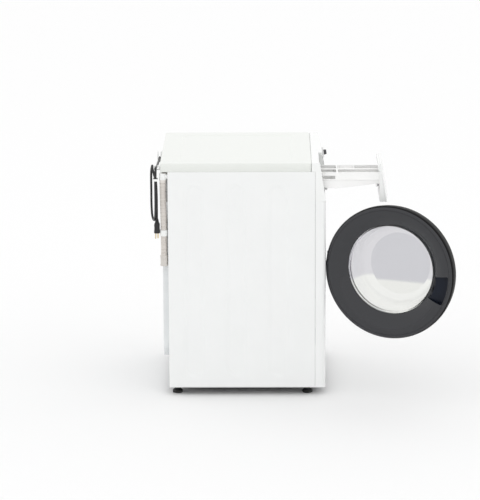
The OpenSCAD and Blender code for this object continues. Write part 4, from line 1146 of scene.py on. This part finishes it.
@dataclass
class HoseAndCord:
    """The drain hose that hangs at the back's left edge, and the power cord with its plug."""

    hose_route: tuple[Point, ...] = (
        (-285, 298, 790), (-285, 298, 768), (-285, 297.8, 740), (-285, 297, 700),
        (-285, 296, 650), (-285, 295.5, 600), (-285, 295.5, 560), (-285, 295.5, 515),
    )
    cord_route: tuple[Point, ...] = (
        (150, 297, 758), (150, 299, 735), (150, 304, 708), (150, 307, 680), (150, 308, 640), (141, 308, 608),
        (117, 308, 594), (93, 308, 608), (84, 308, 640), (84, 309, 690), (84, 312, 750), (80, 318, 782),
        (68, 321, 798), (50, 322, 804), (0, 322, 803), (-60, 323, 806), (-130, 323, 811),
        (-200, 323, 819), (-250, 323, 826), (-278, 323, 825), (-291, 323, 806), (-293, 324, 780),
        (-293, 324, 740), (-293, 324, 700), (-290, 325, 665), (-276, 328, 643), (-255, 334, 640),
        (-236, 339, 655), (-230, 341, 690), (-230, 341, 740), (-231, 341, 785), (-236, 340, 812),
        (-248, 337, 830), (-262, 335, 835), (-273, 334, 826), (-279, 329, 808), (-281, 322, 780),
        (-281, 320, 730), (-280, 320, 680), (-280, 320, 648),
    )
    hose_radius: float = 12 * MM
    cuff_radius: float = 14 * MM
    cuff_low: float = 477 * MM
    cord_radius: float = 4 * MM
    wave: float = 5 * MM

    def build(self) -> None:
        plug = self._plug()
        self._cord()
        self._hose()

    def _hose(self) -> None:
        """Builds the corrugated hose, with painted shade in the valleys of its folds, which ends in its smooth
        cuff.
        """
        route = [tuple(c * MM for c in p) for p in self.hose_route]
        x, y, seam = route[-1]
        path = curve_points([*route, (x, y, seam - 12 * MM)], 44)
        full = path_length(path)

        def size(run: float) -> float:
            """The tube's radius at a distance along it."""
            plain = max(smooth_step((10 * MM - run) / (4 * MM)), smooth_step((run - full + 14 * MM) / (3 * MM)))
            fold = (0.5 - 0.5 * math.cos(2 * math.pi * run / self.wave)) ** 0.7
            return self.hose_radius - 1.5 * MM * (1 - plain) * fold

        runs = [0.0]
        for a, b in zip(path, path[1:]):
            runs.append(runs[-1] + math.dist(a, b))
        shape = Shape(HOSE, HOSE_VALLEY_PAINTED_SHADE)
        # rings deep in a valley take the darker finish: painted shade in the folds
        valley_shade_radius = self.hose_radius - 0.9 * MM
        shape.loft(swept(path, size, 32), mark=lambda i: int(size((runs[i] + runs[i + 1]) / 2) < valley_shade_radius))
        hose = shape.make("drain_hose_tube", sharp=60)
        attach(hose, "cabinet")
        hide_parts("drain_hose")
        cuff = self._cuff(x, y, seam)
        LOG.info("hose of %.3f m", full)

    def _cuff(self, x: float, y: float, seam: float) -> bpy.types.Object:
        """Builds the rubber cuff on the hose's end, with a rim at both of its ends and an open mouth."""
        r, tall = self.cuff_radius, seam - self.cuff_low
        profile = mm((10.5, 16), (10.5, 0.6), (11, 0))
        profile += [(r + a, b) for a, b in mm((-0.6, 0), (0, 0.6), (0, 5), (-0.9, 6))]
        profile += [(r + a, tall + b) for a, b in mm((-0.9, -9), (0, -8), (0, -0.8), (-0.8, 0))]
        profile.append((self.hose_radius - 0.4 * MM, tall))
        shape = Shape(CUFF)
        shape.lathe(profile, Matrix.Translation((x, y, self.cuff_low)), 40)
        return settle(shape.make("drain_hose_cuff", sharp=50), "cabinet", "hose_plastic")

    def _cord(self) -> None:
        route = [tuple(c * MM for c in p) for p in self.cord_route]
        path = curve_points(route, 8)
        shape = Shape(CORD)
        shape.loft(swept(path, lambda _: self.cord_radius, 20))
        cord = shape.make("power_cord_lead", sharp=60)
        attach(cord, "cabinet")
        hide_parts("power_cord")

    def _plug(self) -> bpy.types.Object:
        """Builds the plug's moulded body with its ribbed strain relief."""
        low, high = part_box("plug_body")
        x, y = (low[0] + high[0]) / 2, (low[1] + high[1]) / 2
        wide, deep = (high[0] - low[0]) / 2, (high[1] - low[1]) / 2
        rings: list[Ring] = []
        for share, height in (
            (0.80, 0), (0.97, 0.8), (1.0, 3), (1.0, 9), (0.93, 13), (0.90, 20), (0.96, 28), (0.90, 34), (0.62, 38),
        ):
            w, d = wide * share, deep * share
            rings.append(round_ring((x - w, y - d), (x + w, y + d), min(w, d) * 0.62, low[2] + height * MM))
        shape = Shape(CORD)
        shape.loft(rings)
        profile: list[Pair] = []
        relief = 36 * MM
        step = (high[2] - low[2] - relief) / 5
        for i in range(5):
            start, size = relief + step * i, (7.6 - 0.55 * i) * MM
            neck = size - 1.4 * MM
            profile += [(size, start), (size, start + step * 0.6), (neck, start + step * 0.7), (neck, start + step)]
        shape.lathe(profile, Matrix.Translation((x, y, low[2])), 32)
        return settle(shape.make("plug_moulding"), "cabinet", "cord_rubber", "plug_body")


# ---- studio ----


@dataclass
class Studio:
    """The pale floor, the soft lights and the camera."""

    eye: Point = (-10.1349, -0.0990, 2.8105)
    yaw: float = 0.721
    pitch: float = 13.017
    roll: float = -0.261
    lens: float = 204.3
    floor_size: float = 60.0

    def build(self) -> None:
        """Builds the whole studio."""
        self._camera()
        self._floor()
        self._lights()

    def _camera(self) -> None:
        """Builds the camera, which looks along +X and slightly down at the machine's left side."""
        yaw, pitch = math.radians(self.yaw), math.radians(self.pitch)
        look = Vector((math.cos(yaw) * math.cos(pitch), math.sin(yaw) * math.cos(pitch), -math.sin(pitch)))
        right = look.cross(Vector((0, 0, 1))).normalized()
        up = right.cross(look)
        tilt = math.radians(self.roll)
        side = math.cos(tilt) * right + math.sin(tilt) * up
        top = -math.sin(tilt) * right + math.cos(tilt) * up
        data = bpy.data.cameras.new("camera")
        data.lens = self.lens
        data.sensor_width = 36.0
        data.clip_end = 200.0
        camera = bpy.data.objects.new("camera", data)
        turn = Matrix((side, top, -look)).transposed().to_4x4()
        camera.matrix_world = Matrix.Translation(self.eye) @ turn
        bpy.context.scene.collection.objects.link(camera)
        bpy.context.scene.camera = camera

    def _floor(self) -> None:
        """Builds the plain floor."""
        half = self.floor_size / 2
        mesh = bpy.data.meshes.new("floor")
        corners = [(-half, -half, 0), (half, -half, 0), (half, half, 0), (-half, half, 0)]
        mesh.from_pydata(corners, [], [(0, 1, 2, 3)])
        mat = bpy.data.materials.new("floor_white")
        mat.use_nodes = True
        shader = mat.node_tree.nodes["Principled BSDF"]
        shader.inputs["Base Color"].default_value = (0.93, 0.93, 0.93, 1)
        shader.inputs["Roughness"].default_value = 0.9
        mesh.materials.append(mat)
        floor = bpy.data.objects.new("floor", mesh)
        bpy.context.scene.collection.objects.link(floor)

    def _lights(self) -> None:
        """Builds the even surrounding light and two large soft panels."""
        world = bpy.data.worlds.new("studio")
        world.use_nodes = True
        sky = world.node_tree.nodes["Background"]
        sky.inputs["Color"].default_value = (1.0, 1.0, 1.0, 1)
        sky.inputs["Strength"].default_value = 1.06
        bpy.context.scene.world = world
        bpy.context.scene.view_settings.view_transform = "Standard"
        self._panel("key_panel", (-3.0, -3.5, 4.5), (0, 0, 0.4), 3.0, 4.0)
        self._panel("top_panel", (0.5, 0.5, 5.0), (0, 0, 0.5), 3.0, 3.0)

    @staticmethod
    def _panel(name: str, place: Point, target: Point, size: float, power: float) -> None:
        """Adds one square area light aimed at a target."""
        data = bpy.data.lights.new(name, "AREA")
        data.size = size
        data.energy = power
        light = bpy.data.objects.new(name, data)
        aim = (Vector(target) - Vector(place)).to_track_quat("-Z", "Y")
        light.matrix_world = Matrix.Translation(place) @ aim.to_matrix().to_4x4()
        bpy.context.scene.collection.objects.link(light)


def main() -> None:
    """Loads the frame and builds every sub-assembly."""
    logging.basicConfig(level=logging.INFO, format="%(message)s")
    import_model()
    Studio().build()
    HoseAndCord().build()
    CarriedParts().dress()
    for assembly in (Cabinet(), Feet(), ControlPanel(), Drawer(), Door(), Drum()):
        assembly.build()


if __name__ == "__main__":
    main()
